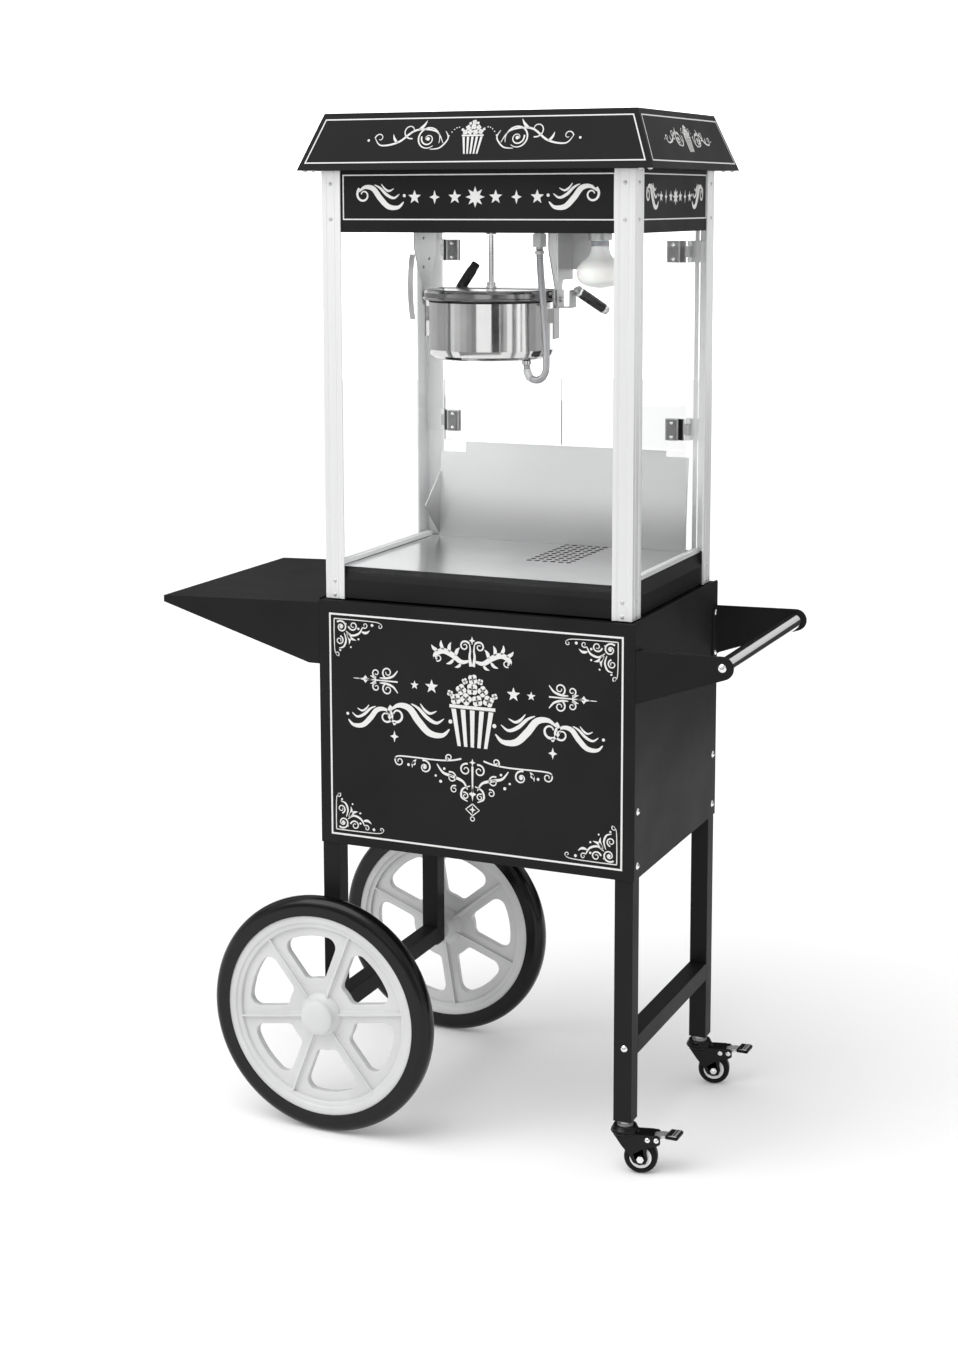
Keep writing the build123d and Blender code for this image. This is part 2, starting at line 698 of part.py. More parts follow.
def kettle_pot():
    """Double-bottomed pot with a rolled rim, side ears, pivots, lid bridge and cable gland."""
    pot = turned([
        (0, 1184), (80, 1184), (88, 1186.3), (93, 1191), (95, 1198), (95, 1274.5), (103, 1274.5), (104, 1276.2),
        (103, rim_top), (93.5, rim_top), (93.5, 1200), (91, 1196.5), (86, 1195.5), (0, 1195.5),
    ])
    pot -= turned([(0, 1185.4), (78, 1185.4), (85, 1189), (86, 1194), (0, 1194)])
    pot = Pos(kettle_x, machine_y, 0) * pot
    y = (machine_y - 11, machine_y + 11)
    for side, inner, outer in ((-1, -155, -157.5), (1, 55, 57.5)):
        ear_x = sorted((inner, outer))
        pot += block(ear_x, y, (1216, 1287))
        wall = kettle_x + side * (kettle_r - 3)
        pot += block(sorted((wall, inner)), y, (1240, 1262))
        pin_end = outer + side * 9
        pot += rod_x(sorted((inner, pin_end)), machine_y, pivot_z, 4)
    bar = block((kettle_x - 104, kettle_x + 104), (machine_y - 9, machine_y + 9), (1286.5, 1288.5))
    for side in (-1, 1):
        post = kettle_x + side * 98
        bar += block((post - 3, post + 3), (machine_y - 9, machine_y + 9), (rim_top - 0.5, 1286.6))
        ear_x = (post - 3, post + 3)
        bar += block(ear_x, (machine_y - 16, machine_y + 16), (1281.6, 1286.4))
    for y_rod in (machine_y - 13, machine_y + 13):
        bar += rod_x((kettle_x - 98, kettle_x + 98), y_rod, 1284, 1.5)
    bar += rod_z(kettle_x, machine_y, (1284, 1294), 8)
    bar -= rod_z(kettle_x, machine_y, (1280, 1296), 4.06)
    gland = rod_z(25, -44, (1179.3, 1185), 7.5)
    return pot + bar + gland


def kettle_heater():
    return Pos(kettle_x, machine_y, 0) * turned([(20, 1187), (78, 1187), (78, 1193), (20, 1193)])


def kettle_handle():
    """U bracket clamped on the right pivot, with a bent rod and the tilting grip."""
    y = machine_y
    bracket = block((62, 64), (y - 13, y + 13), (1263, 1290)) + block((64, 84), (y - 13, y + 13), (1263, 1265.2))
    bracket += block((82, 84), (y - 13, y + 13), (1263, 1290))
    bracket -= rod_x((60, 65), y, pivot_z, 4)
    near = Vector(92, y, 1288)
    far = Vector(116, y + 56, 1257)
    along = (far - near).normalized()
    grip_at = near + along * 6
    rod = extrude(Plane(origin=grip_at, z_dir=-along) * Circle(3), amount=14)
    bracket += rod_x((80, 92), y + 1, 1286, 3) + rod
    grip = extrude(Plane(origin=grip_at, z_dir=along) * Circle(7), amount=62)
    ferrule = extrude(Plane(origin=grip_at - along * 5, z_dir=along) * Circle(7), amount=5)
    return [bracket + ferrule, grip]


def kettle_lid(end):
    """Half-moon flap with a skirt and two knuckles on the bridge's rod."""
    hinge_y = machine_y + end * 13
    edge = machine_y + end * 17.5
    keep = block((-200, 100), sorted((edge, machine_y + end * 200)), (1270, 1300))
    disc = turned([
        (0, lid_top), (96, lid_top), (101, lid_top - 1.5), (103, lid_top - 5), (103, rim_top + 0.4),
        (101.6, rim_top + 0.4), (101.6, lid_top - 5), (100, lid_top - 2.6), (96, lid_top - 1.4), (0, lid_top - 1.4),
    ])
    flap = (Pos(kettle_x, machine_y, 0) * disc) & keep
    for x in (-70, 40):
        span = (kettle_x + x, kettle_x + x + 30)
        tab_y = sorted((hinge_y, edge + end * 2))
        flap += rod_x(span, hinge_y, 1284, 3.2)
        flap += block(span, tab_y, (1285.6, 1287.2))
        flap += block(span, sorted((edge, edge + end * 2)), (1285.6, lid_top))
        flap -= rod_x((span[0] - 1, span[1] + 1), hinge_y, 1284, 1.56)
    return flap


def lid_grip():
    """Stem and grip of the back flap, leaning up towards the operator."""
    low = Vector(-126, 45, 1285)
    high = Vector(-106, 65, 1325)
    along = (high - low).normalized()
    stem = extrude(Plane(origin=low + along * 3, z_dir=along) * Circle(3), amount=12)
    grip = extrude(Plane(origin=low + along * 10, z_dir=along) * Circle(7), amount=40)
    return stem, grip


def stirrer():
    """Rod with two swept blades near the kettle's floor and a flat tang that the drive dog turns."""
    rod = rod_z(kettle_x, machine_y, (1198, 1371), 4)
    tang = block((kettle_x - 2, kettle_x + 2), (machine_y - 4, machine_y + 4), (1370, stirrer_top))
    arm = block((kettle_x - 84, kettle_x + 84), (machine_y - 3, machine_y + 3), (1199, 1202))
    arm += rod_z(kettle_x, machine_y, (1197, 1208), 8)
    for side in (-1, 1):
        arm += block(sorted((kettle_x + side * 50, kettle_x + side * 84)), (machine_y - 1, machine_y + 1), (1199, 1212))
    collar = rod_z(kettle_x, machine_y, (1294.3, 1300), 7)
    return rod + tang + arm + collar


# The kettle cable: from the header socket down, round a tight bend and back up to the gland
cable_r = 5.6
cable_points = [
    (49, -53, 1354.5), (49.6, -53, 1336), (51.4, -53.6, 1313), (54, -54, 1286), (56.6, -54.2, 1258),
    (58.8, -53.6, 1231), (59.8, -52.6, 1206), (59.8, -51.2, 1186), (58.6, -49.6, 1168), (48.8, -47.6, 1157),
    (35, -45.6, 1156.2), (25, -44, 1166.4), (25, -44, 1179.3),
]


def bend_radii(points):
    """Each bend takes 0.45 of its shorter run."""
    radii = []
    corners = [Vector(*p) for p in points]
    for before, corner, after in zip(corners, corners[1:], corners[2:]):
        run_in = corner - before
        run_out = after - corner
        turn = radians(run_in.get_angle(run_out))
        radii.append(0.45 * min(run_in.length, run_out.length) / tan(turn / 2))
    return radii


def kettle_cable():
    radii = bend_radii(cable_points)
    print("cable radii", [round(r, 1) for r in radii])
    route = FilletPolyline(*cable_points, radius=radii)
    start = Vector(*cable_points[1]) - Vector(*cable_points[0])
    cable = sweep(Plane(origin=cable_points[0], z_dir=start) * Circle(cable_r), path=route)
    section = pi * cable_r ** 2
    print("cable length", round(route.length, 1), "volume ratio", round(cable.volume / section / route.length, 4))
    return cable


# Rocker switches and back doors


def rocker(x):
    """Switch paddle, drawn in its off position: the lower half stands out."""
    paddle = block((-10, 10), (-7, 4.4), (-14, 14)) - block((-9, 9), (4.4, 6), (-12, 12))
    paddle -= Pos(0, 4.4, 0) * Rot(4, 0, 0) * block((-11, 11), (0, 9), (0, 20))
    paddle -= Pos(0, 4.4, 0) * Rot(-4, 0, 0) * block((-11, 11), (0, 9), (-20, 0))
    paddle += rod_x((-10.5, 10.5), 0, 0, 1.5)
    return Pos(x, shell_back - 1, 1422) * Rot(7, 0, 0) * paddle


def door_brackets():
    """Four brackets on the back posts, each with its hinge pin."""
    brackets = []
    for side in (-1, 1):
        for z in (1068, 1344):
            x = side * door_pivot_x
            plate_x = sorted((side * 205, side * 240))
            bracket = block(plate_x, (post_back - 4, post_back - 2.2), (z - 17, z + 17))
            bracket += rod_z(x, door_pivot_y, (z - 17, z + 17), 2)
            for low in (z - 17, z + 9):
                bracket += rod_z(x, door_pivot_y, (low, low + 8), 4)
                lug_x = sorted((x - 3, x + 3))
                bracket += block(lug_x, (door_pivot_y, post_back - 3), (low, low + 8))
            brackets.append(bracket)
    return brackets


def door_pane(side):
    near = 2.0
    far = 203.0
    return block(sorted((side * near, side * far)), (155, 159), (door_bottom, door_top))


def door_fittings(side):
    """Two clips that grip the pane, each with a knuckle."""
    fittings = []
    for z in (1068, 1344):
        clip = block(sorted((side * 176, side * 197)), (151.5, 155), (z - 17, z + 17))
        clip += block(sorted((side * 176, side * 205)), (159, 161), (z - 17, z + 17))
        clip += rod_z(side * door_pivot_x, door_pivot_y, (z - 8.6, z + 8.6), 4)
        clip += block(sorted((side * 203, side * (door_pivot_x + 2))), (159, door_pivot_y), (z - 8.6, z + 8.6))
        clip -= rod_z(side * door_pivot_x, door_pivot_y, (z - 9, z + 9), 2.06)
        fittings.append(clip)
    return fittings


def main():
    save("cabinet_front_panel", front_panel())
    save("cabinet_left_panel", side_panel(-1))
    save("cabinet_right_panel", side_panel(1))
    save("cabinet_floor", cabinet_floor())
    save("cabinet_deck", cabinet_deck())
    save("legs_left", *legs(-1, left_leg_bottom))
    save("legs_right", *legs(1, right_leg_bottom))
    save("leg_plugs", *leg_plugs())
    save("stretchers", stretcher(-1, left_leg_bottom), stretcher(1, 178))
    save("axle", axle())
    save("cart_bolts", *cart_bolts())
    save("side_shelf", side_shelf())
    save("handle_brackets", handle_bracket(-1), handle_bracket(1))
    save("handle_bar", handle_bar())
    save("cabinet_door", cabinet_door())
    save("cabinet_hinges", *cabinet_hinges())
    for name, end in (("front", -1), ("rear", 1)):
        save(f"wheel_{name}", wheel_frame(end) * wheel_body())
        save(f"tyre_{name}", wheel_frame(end) * tyre())
        save(f"caster_fork_{name}", *[caster_place(end) * piece for piece in caster_fork()])
        save(f"caster_wheel_{name}", caster_place(end) * caster_wheel())
        save(f"caster_brake_{name}", caster_place(end) * caster_brake())
    save("caster_stems", *[caster_place(end) * caster_stem() for end in (-1, 1)])
    save("base_shell", base_shell())
    save("popping_floor", popping_floor())
    save("glass_channels", *glass_channels())
    save("crumb_drawer", crumb_drawer())
    save("popcorn_guard", popcorn_guard())
    save("corner_posts", *[corner_post(side, end) for side in (-1, 1) for end in (-1, 1)])
    save("fixed_glass", *fixed_glass())
    save("header_shell", header_shell())
    save("header_plate", header_plate())
    save("roof", roof())
    save("machine_screws", *machine_screws())
    save("gear_motor", gear_motor())
    save("drive_shaft", drive_shaft())
    save("header_sockets", *header_sockets())
    save("kettle_hangers", hanger(-162, 14), hanger(58.6, 14))
    save("latch_spring", latch_spring(-162))
    save("lamp_socket", lamp_socket())
    save("lamp_bulb", lamp_bulb())
    save("kettle_pot", kettle_pot())
    save("kettle_heater", kettle_heater())
    save("kettle_handle", *kettle_handle())
    save("lid_front", kettle_lid(-1))
    stem, grip = lid_grip()
    save("lid_rear", kettle_lid(1) + stem - grip, grip)
    save("stirrer", stirrer())
    save("kettle_cable", kettle_cable())
    for name, x in (("light", -70), ("heat", 0), ("stir", 70)):
        save(f"switch_{name}", rocker(x))
    save("door_brackets", *door_brackets())
    for name, side in (("left", -1), ("right", 1)):
        save(f"door_pane_{name}", door_pane(side))
        save(f"door_fittings_{name}", *door_fittings(side))


main()
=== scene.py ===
import json
import math

import bmesh
import bpy
from mathutils import Matrix, Vector

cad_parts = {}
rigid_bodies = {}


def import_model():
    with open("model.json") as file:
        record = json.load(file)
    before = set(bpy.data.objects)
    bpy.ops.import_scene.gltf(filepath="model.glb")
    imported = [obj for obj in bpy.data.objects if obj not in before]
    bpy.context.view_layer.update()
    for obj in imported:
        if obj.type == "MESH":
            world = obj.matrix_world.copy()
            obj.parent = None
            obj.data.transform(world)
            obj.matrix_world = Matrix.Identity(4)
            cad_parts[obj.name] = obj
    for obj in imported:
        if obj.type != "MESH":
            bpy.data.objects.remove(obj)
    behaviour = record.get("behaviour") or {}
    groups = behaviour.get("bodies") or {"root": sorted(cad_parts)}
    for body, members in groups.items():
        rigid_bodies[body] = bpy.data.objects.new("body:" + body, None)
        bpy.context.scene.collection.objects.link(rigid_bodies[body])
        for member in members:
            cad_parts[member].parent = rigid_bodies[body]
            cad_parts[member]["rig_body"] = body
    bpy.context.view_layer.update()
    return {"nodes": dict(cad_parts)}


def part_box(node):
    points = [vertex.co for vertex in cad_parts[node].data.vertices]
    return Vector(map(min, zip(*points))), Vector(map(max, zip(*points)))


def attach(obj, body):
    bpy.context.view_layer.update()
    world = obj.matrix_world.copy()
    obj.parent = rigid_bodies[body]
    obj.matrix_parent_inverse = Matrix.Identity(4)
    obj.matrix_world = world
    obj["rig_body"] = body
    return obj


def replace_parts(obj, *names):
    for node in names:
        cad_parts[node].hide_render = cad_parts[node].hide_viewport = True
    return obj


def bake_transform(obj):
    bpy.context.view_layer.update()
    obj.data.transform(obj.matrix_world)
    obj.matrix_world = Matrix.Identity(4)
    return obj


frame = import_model()
nodes = frame["nodes"]

# Lengths are millimetres from the cabinet's middle plane, the cart's centre line and the floor.
MM = 0.001
panel_low, panel_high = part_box("cabinet_front_panel")
CART_X = (panel_low.x + panel_high.x) / 2


def cart(x, y, z):
    """A point in metres in the frame, from millimetres on the cart."""
    return Vector((CART_X + x * MM, y * MM, z * MM))


def span(node):
    """A CAD node's box in millimetres on the cart: three (low, high) pairs."""
    low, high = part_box(node)
    shift = (CART_X, 0, 0)
    return [((low[i] - shift[i]) / MM, (high[i] - shift[i]) / MM) for i in range(3)]


_, (CAB_FRONT, _), (CAB_BOTTOM, CAB_TOP) = span("cabinet_front_panel")
(HEAD_LEFT, HEAD_RIGHT), (HEAD_FRONT, HEAD_BACK), (HEAD_BOTTOM, HEAD_TOP) = span("header_shell")
(ROOF_LEFT, ROOF_RIGHT), (ROOF_FRONT, ROOF_BACK), (ROOF_BOTTOM, ROOF_TOP) = span("roof")
ROOF_TOP_W, ROOF_TOP_D = 488.0, 347.0
KETTLE_X, KETTLE_Y = (sum(pair) / 2 for pair in span("stirrer")[:2])
WHEEL_X, WHEEL_Z = (sum(span("tyre_front")[axis]) / 2 for axis in (0, 2))
LEG_TUBE = 28
CASTER_X = sum(span("legs_right")[0]) / 2
CASTER_Y = (span("legs_right")[1][1] - span("legs_right")[1][0] - LEG_TUBE) / 2
DOOR_PIVOT_X, DOOR_PIVOT_Y = 209, 166
CLIP_HEIGHTS = (1068, 1344)


def linked(name, data):
    """A new object in the scene."""
    made = bpy.data.objects.new(name, data)
    bpy.context.scene.collection.objects.link(made)
    return made


# Camera: the reference view of the whole cart


def make_camera():
    azimuth, elevation, roll = (math.radians(a) for a in (23.8071, 8.1146, -0.1397))
    level = math.cos(elevation)
    back = Vector((math.sin(azimuth) * level, -math.cos(azimuth) * level, math.sin(elevation)))
    right = (-back).cross(Vector((0, 0, 1))).normalized()
    up = right.cross(-back)
    turned_right = math.cos(roll) * right + math.sin(roll) * up
    turned_up = math.cos(roll) * up - math.sin(roll) * right
    turn = Matrix((turned_right, turned_up, back)).transposed().to_4x4()
    data = bpy.data.cameras.new("camera")
    data.sensor_width = 36
    data.lens = 57.18
    data.shift_y = -0.1257
    camera = linked("camera", data)
    camera.matrix_world = Matrix.Translation((1.3232, -3.0196, 1.4239)) @ turn
    bpy.context.scene.camera = camera


# Materials


class Surface:
    """A node material: one Principled shader with grain in its colour, roughness and height."""

    def __init__(self, name, colour, roughness, metallic=0.0, **sockets):
        self.material = bpy.data.materials.new(name)
        self.material.use_nodes = True
        self.tree = self.material.node_tree
        self.shader = self.tree.nodes["Principled BSDF"]
        self.colour = colour
        self.roughness = roughness
        self.shader.inputs["Base Color"].default_value = (*colour, 1)
        self.shader.inputs["Roughness"].default_value = roughness
        self.shader.inputs["Metallic"].default_value = metallic
        for socket, value in sockets.items():
            self.shader.inputs[socket.replace("_", " ")].default_value = value
        self.height = None

    def node(self, kind, **inputs):
        made = self.tree.nodes.new(kind)
        for socket, value in inputs.items():
            made.inputs[socket.replace("_", " ")].default_value = value
        return made

    def link(self, source, target):
        self.tree.links.new(source, target)

    def noise(self, size_mm, stretch=(1, 1, 1), detail=3.0):
        """Noise whose blotches are about size_mm across, stretched along the axes."""
        coords = self.tree.nodes.new("ShaderNodeTexCoord")
        mapping = self.node("ShaderNodeMapping", Scale=tuple(1 / s for s in stretch))
        made = self.node("ShaderNodeTexNoise", Scale=1 / (size_mm * MM), Detail=detail)
        self.link(coords.outputs["Object"], mapping.inputs["Vector"])
        self.link(mapping.outputs["Vector"], made.inputs["Vector"])
        return made.outputs["Fac"]

    def vary_colour(self, source, spread):
        """Colour runs from darker to lighter by spread as source goes from 0.3 to 0.7."""
        ramp = self.tree.nodes.new("ShaderNodeValToRGB")
        for stop, place, sign in zip(ramp.color_ramp.elements, (0.3, 0.7), (-1, 1)):
            stop.position = place
            stop.color = (*[min(1, c * (1 + sign * spread)) for c in self.colour], 1)
        self.link(source, ramp.inputs["Fac"])
        self.link(ramp.outputs["Color"], self.shader.inputs["Base Color"])
        return self

    def vary_roughness(self, source, spread):
        run = self.node("ShaderNodeMapRange", From_Min=0.3, From_Max=0.7)
        run.inputs["To Min"].default_value = max(0.0, self.roughness - spread)
        run.inputs["To Max"].default_value = min(1.0, self.roughness + spread)
        self.link(source, run.inputs["Value"])
        self.link(run.outputs["Result"], self.shader.inputs["Roughness"])
        return self

    def emboss(self, source, depth_mm, strength=1.0):
        bump = self.node("ShaderNodeBump", Strength=strength, Distance=depth_mm * MM)
        self.link(source, bump.inputs["Height"])
        if self.height is not None:
            self.link(self.height, bump.inputs["Normal"])
        self.height = bump.outputs["Normal"]
        self.link(self.height, self.shader.inputs["Normal"])
        return self


    def glow(self, level, strength):
        self.shader.inputs["Emission Color"].default_value = (level, level, level, 1)
        self.shader.inputs["Emission Strength"].default_value = strength
        return self

    def light_path(self):
        return self.tree.nodes.new("ShaderNodeLightPath").outputs

    def choose(self, share, first, second):
        """The surface is the first shader where share is 0 and the second where it is 1."""
        mix = self.tree.nodes.new("ShaderNodeMixShader")
        for source, target in zip((share, first.outputs["BSDF"], second.outputs["BSDF"]), mix.inputs):
            self.link(source, target)
        self.link(mix.outputs["Shader"], self.tree.nodes["Material Output"].inputs["Surface"])


def powder_coat():
    """Satin black powder: orange peel about a millimetre across."""
    made = Surface("powder_coat", (0.0135, 0.0135, 0.0138), 0.5, Specular_IOR_Level=0.11)
    peel = made.noise(1.1, detail=2.0)
    cloud = made.noise(120, detail=2.0)
    return made.vary_colour(cloud, 0.14).vary_roughness(cloud, 0.05).emboss(peel, 0.05, 0.35).material


def print_white():
    """Screen print on the powder coat: thin, slightly uneven ink."""
    made = Surface("print_white", (0.74, 0.74, 0.73), 0.5)
    ink = made.noise(0.8, detail=4.0)
    return made.vary_colour(ink, 0.05).emboss(ink, 0.02, 0.4).material


def extruded_aluminium():
    made = Surface("extruded_aluminium", (0.86, 0.862, 0.866), 0.34, 0.35)
    lines = made.noise(1.4, stretch=(1, 1, 900), detail=1.0)
    return made.vary_colour(lines, 0.012).vary_roughness(lines, 0.04).emboss(lines, 0.01, 0.12).material


def brushed_sheet(name, colour, roughness, along=(300, 1, 1)):
    made = Surface(name, colour, roughness, 1.0, Anisotropic=0.4)
    lines = made.noise(0.45, stretch=along, detail=3.0)
    cloud = made.noise(90, detail=2.0)
    return made.vary_colour(cloud, 0.04).vary_roughness(lines, 0.05).emboss(lines, 0.015, 0.2).material


def guard_sheet():
    """Brushed sheet with painted shade: its colour darkens from the top edge down to the rolled foot."""
    made = Surface("guard_steel", (0.6, 0.6, 0.61), 0.5, 1.0)
    low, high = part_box("popcorn_guard")
    coords = made.tree.nodes.new("ShaderNodeTexCoord")
    split = made.tree.nodes.new("ShaderNodeSeparateXYZ")
    run = made.node("ShaderNodeMapRange", From_Min=low.z, From_Max=high.z)
    made.link(coords.outputs["Object"], split.inputs["Vector"])
    made.link(split.outputs["Z"], run.inputs["Value"])
    # Painted shade: the base colour runs from 0.42 at the foot to 0.72 higher up. It stands in for the darker
    # reflection low on the sheet.
    ramp = made.tree.nodes.new("ShaderNodeValToRGB")
    ramp.color_ramp.interpolation = "EASE"
    for stop, place, level in zip(ramp.color_ramp.elements, (0.05, 0.6), (0.42, 0.72)):
        stop.position = place
        stop.color = (level, level, level * 1.005, 1)
    made.link(run.outputs["Result"], ramp.inputs["Fac"])
    made.link(ramp.outputs["Color"], made.shader.inputs["Base Color"])
    lines = made.noise(0.6, stretch=(400, 1, 1), detail=2.0)
    return made.vary_roughness(lines, 0.04).emboss(lines, 0.01, 0.1).material


def polished_pot():
    """Spun and polished steel: faint rings round the kettle."""
    made = Surface("polished_pot", (0.66, 0.66, 0.655), 0.1, 1.0)
    rings = made.noise(0.35, stretch=(200, 200, 1), detail=2.0)
    haze = made.noise(40, detail=3.0)
    return made.vary_colour(haze, 0.03).vary_roughness(haze, 0.035).emboss(rings, 0.01, 0.12).material


def shaded_lid_steel():
    """Steel of the lid and the rolled rim with painted shade: a dark base colour stands in for the dark
    reflections on them.
    """
    made = Surface("shaded_lid_steel", (0.25, 0.25, 0.25), 0.16, 1.0)
    haze = made.noise(30, detail=3.0)
    return made.vary_colour(haze, 0.05).vary_roughness(haze, 0.03).material


def plated(name, colour, roughness, metallic, cloud_mm, detail, spread):
    """Chrome or zinc plate with a faint cloudiness."""
    made = Surface(name, colour, roughness, metallic)
    cloud = made.noise(cloud_mm, detail=detail)
    return made.vary_colour(cloud, 0.02).vary_roughness(cloud, spread).material


def moulded(name, colour, roughness, grain_mm=0.7, depth_mm=0.02, **sockets):
    """Moulded plastic or rubber with a fine grain."""
    made = Surface(name, colour, roughness, **sockets)
    grain = made.noise(grain_mm, detail=3.0)
    cloud = made.noise(70, detail=2.0)
    return made.vary_colour(cloud, 0.05).vary_roughness(cloud, 0.05).emboss(grain, depth_mm, 0.3).material


def clear_glass():
    """Tempered glass that lets lamp light straight through."""
    made = Surface("clear_glass", (0.995, 0.998, 0.997), 0.0, Transmission_Weight=1.0, IOR=1.13)
    smear = made.noise(60, detail=3.0)
    made.vary_roughness(smear, 0.003)
    through = made.node("ShaderNodeBsdfTransparent", Color=(0.95, 0.96, 0.955, 1))
    made.choose(made.light_path()["Is Shadow Ray"], made.shader, through)
    return made.material


def frosted_glass():
    made = Surface("frosted_glass", (0.8, 0.8, 0.79), 0.35, Subsurface_Weight=0.3, Subsurface_Scale=0.01)
    frost = made.noise(0.5, detail=2.0)
    haze = made.noise(30, detail=2.0)
    return made.vary_colour(haze, 0.03).vary_roughness(haze, 0.05).emboss(frost, 0.01, 0.2).material


COAT = powder_coat()
INK = print_white()
ALUMINIUM = extruded_aluminium()
FLOOR_STEEL = brushed_sheet("floor_steel", (0.66, 0.66, 0.665), 0.2)
GUARD_STEEL = guard_sheet()
POT = polished_pot()
SHADED_LID = shaded_lid_steel()
CHROME = plated("chrome", (0.83, 0.83, 0.84), 0.07, 1.0, 25, 3.0, 0.03)
ZINC = plated("zinc", (0.56, 0.56, 0.565), 0.36, 0.75, 14, 1.0, 0.02)
DARK_ZINC = plated("dark_zinc", (0.3, 0.3, 0.31), 0.36, 0.75, 14, 1.0, 0.02)
WHEEL_PLASTIC = moulded("wheel_plastic", (0.62, 0.622, 0.625), 0.38, 0.9, 0.02)
TYRE = moulded("tyre_rubber", (0.004, 0.004, 0.0042), 0.2, 0.6, 0.01, Specular_IOR_Level=0.3)
GLOSS_BLACK = moulded("gloss_black", (0.005, 0.005, 0.005), 0.16, 0.8, 0.005, Specular_IOR_Level=0.22)
TREAD = moulded("caster_tread", (0.005, 0.005, 0.005), 0.4, 0.6, 0.02, Specular_IOR_Level=0.15)
# Painted shade: a near-black matte for dark discs and rings put where there is only shade.
PAINTED_SHADE = moulded("painted_shade", (0.02, 0.02, 0.02), 0.8, 0.6, 0.01, Specular_IOR_Level=0.0)
CLIP_PAD = moulded("clip_pad", (0.16, 0.16, 0.162), 0.45, 0.8, 0.01)
CORE = moulded("caster_core", (0.8, 0.8, 0.79), 0.4, 0.6, 0.01)
BLACK_PLASTIC = moulded("black_plastic", (0.012, 0.012, 0.012), 0.4, 0.6, 0.02)
GRIP = moulded("black_grip", (0.006, 0.006, 0.006), 0.2, 3.0, 0.002, Specular_IOR_Level=0.4)
CASING = moulded("motor_casing", (0.05, 0.05, 0.052), 0.5, 1.5, 0.03)
GLASS = clear_glass()
FROSTED = frosted_glass()
HOSE = brushed_sheet("hose_steel", (0.4, 0.4, 0.41), 0.25, (1, 1, 1))

node_materials = {
    COAT: (
        "cabinet_floor", "cabinet_deck", "cabinet_door", "cabinet_left_panel", "cabinet_right_panel",
        "cabinet_front_panel", "legs_left", "legs_right", "stretchers", "side_shelf", "handle_brackets",
        "base_shell", "header_shell", "roof",
    ),
    ALUMINIUM: ("glass_channels",),
    FLOOR_STEEL: ("popping_floor", "crumb_drawer", "header_plate"),
    POT: ("kettle_pot", "stirrer"),
    SHADED_LID: ("lid_front",),
    CHROME: ("handle_bar", "cart_bolts"),
    ZINC: (
        "axle", "machine_screws", "cabinet_hinges", "caster_stems", "kettle_hangers", "latch_spring",
        "drive_shaft", "door_brackets", "lamp_socket",
    ),
    DARK_ZINC: ("kettle_heater",),
    TYRE: ("tyre_front", "tyre_rear"),
    WHEEL_PLASTIC: ("wheel_front", "wheel_rear"),
    TREAD: ("caster_wheel_front", "caster_wheel_rear"),
    BLACK_PLASTIC: ("leg_plugs", "switch_light", "switch_heat", "switch_stir"),
    CASING: ("gear_motor",),
    GLASS: ("fixed_glass", "door_pane_left", "door_pane_right"),
}


def finish_nodes():
    for material, names in node_materials.items():
        for name in names:
            for slot in nodes[name].material_slots:
                slot.material = material


# Mesh tools


def add_piece(name, mesh, material, body, bevel_mm=0.0, sharp_deg=35, segments=2):
    """A mesh in metres becomes a piece that rides on a body."""
    mesh.materials.clear()
    mesh.materials.append(material)
    mesh.polygons.foreach_set("use_smooth", [True] * len(mesh.polygons))
    piece = linked(name, mesh)
    if bevel_mm:
        bevel = piece.modifiers.new("edges", "BEVEL")
        bevel.width = bevel_mm * MM
        bevel.segments = segments
        bevel.limit_method = "ANGLE"
        bevel.angle_limit = math.radians(sharp_deg)
        bevel.use_clamp_overlap = True
        piece.modifiers.new("normals", "WEIGHTED_NORMAL").keep_sharp = True
    else:
        mesh.set_sharp_from_angle(angle=math.radians(sharp_deg))
    if body:
        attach(piece, body)
    return piece


def welded(node, whole_faces=True):
    """A copy of a CAD node's mesh with joined corners, and whole flat faces if asked."""
    mesh = bmesh.new()
    mesh.from_mesh(nodes[node].data)
    bmesh.ops.remove_doubles(mesh, verts=mesh.verts, dist=2e-6)
    if whole_faces:
        flat = math.radians(0.3)
        bmesh.ops.dissolve_limit(
            mesh, angle_limit=flat, verts=mesh.verts, edges=mesh.edges, use_dissolve_boundaries=False,
        )
    return mesh


def loose_parts(node):
    """The node's separate solids as meshes, largest box first."""
    whole = welded(node)
    left = set(whole.verts)
    parts = []
    while left:
        start = next(iter(left))
        found, edge = {start}, [start]
        while edge:
            vert = edge.pop()
            for link in vert.link_edges:
                other = link.other_vert(vert)
                if other not in found:
                    found.add(other)
                    edge.append(other)
        left -= found
        parts.append(found)
    meshes = []
    for found in parts:
        part = bmesh.new()
        made = {vert: part.verts.new(vert.co) for vert in sorted(found, key=lambda v: v.index)}
        faces = sorted({face for vert in found for face in vert.link_faces}, key=lambda f: f.index)
        for face in faces:
            part.faces.new([made[vert] for vert in face.verts])
        mesh = bpy.data.meshes.new(node)
        part.to_mesh(mesh)
        part.free()
        corners = [vert.co for vert in found]
        size = max(max(c[i] for c in corners) - min(c[i] for c in corners) for i in range(3))
        meshes.append((size, mesh))
    whole.free()
    return [mesh for _, mesh in sorted(meshes, key=lambda pair: -pair[0])]


def soften(node, name, material, bevel_mm, segments=2, whole_faces=True):
    """Stands for a CAD node with the same shape and rounded edges."""
    whole = welded(node, whole_faces)
    mesh = bpy.data.meshes.new(name)
    whole.to_mesh(mesh)
    whole.free()
    piece = add_piece(name, mesh, material, nodes[node]["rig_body"], bevel_mm, segments=segments)
    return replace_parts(piece, node)


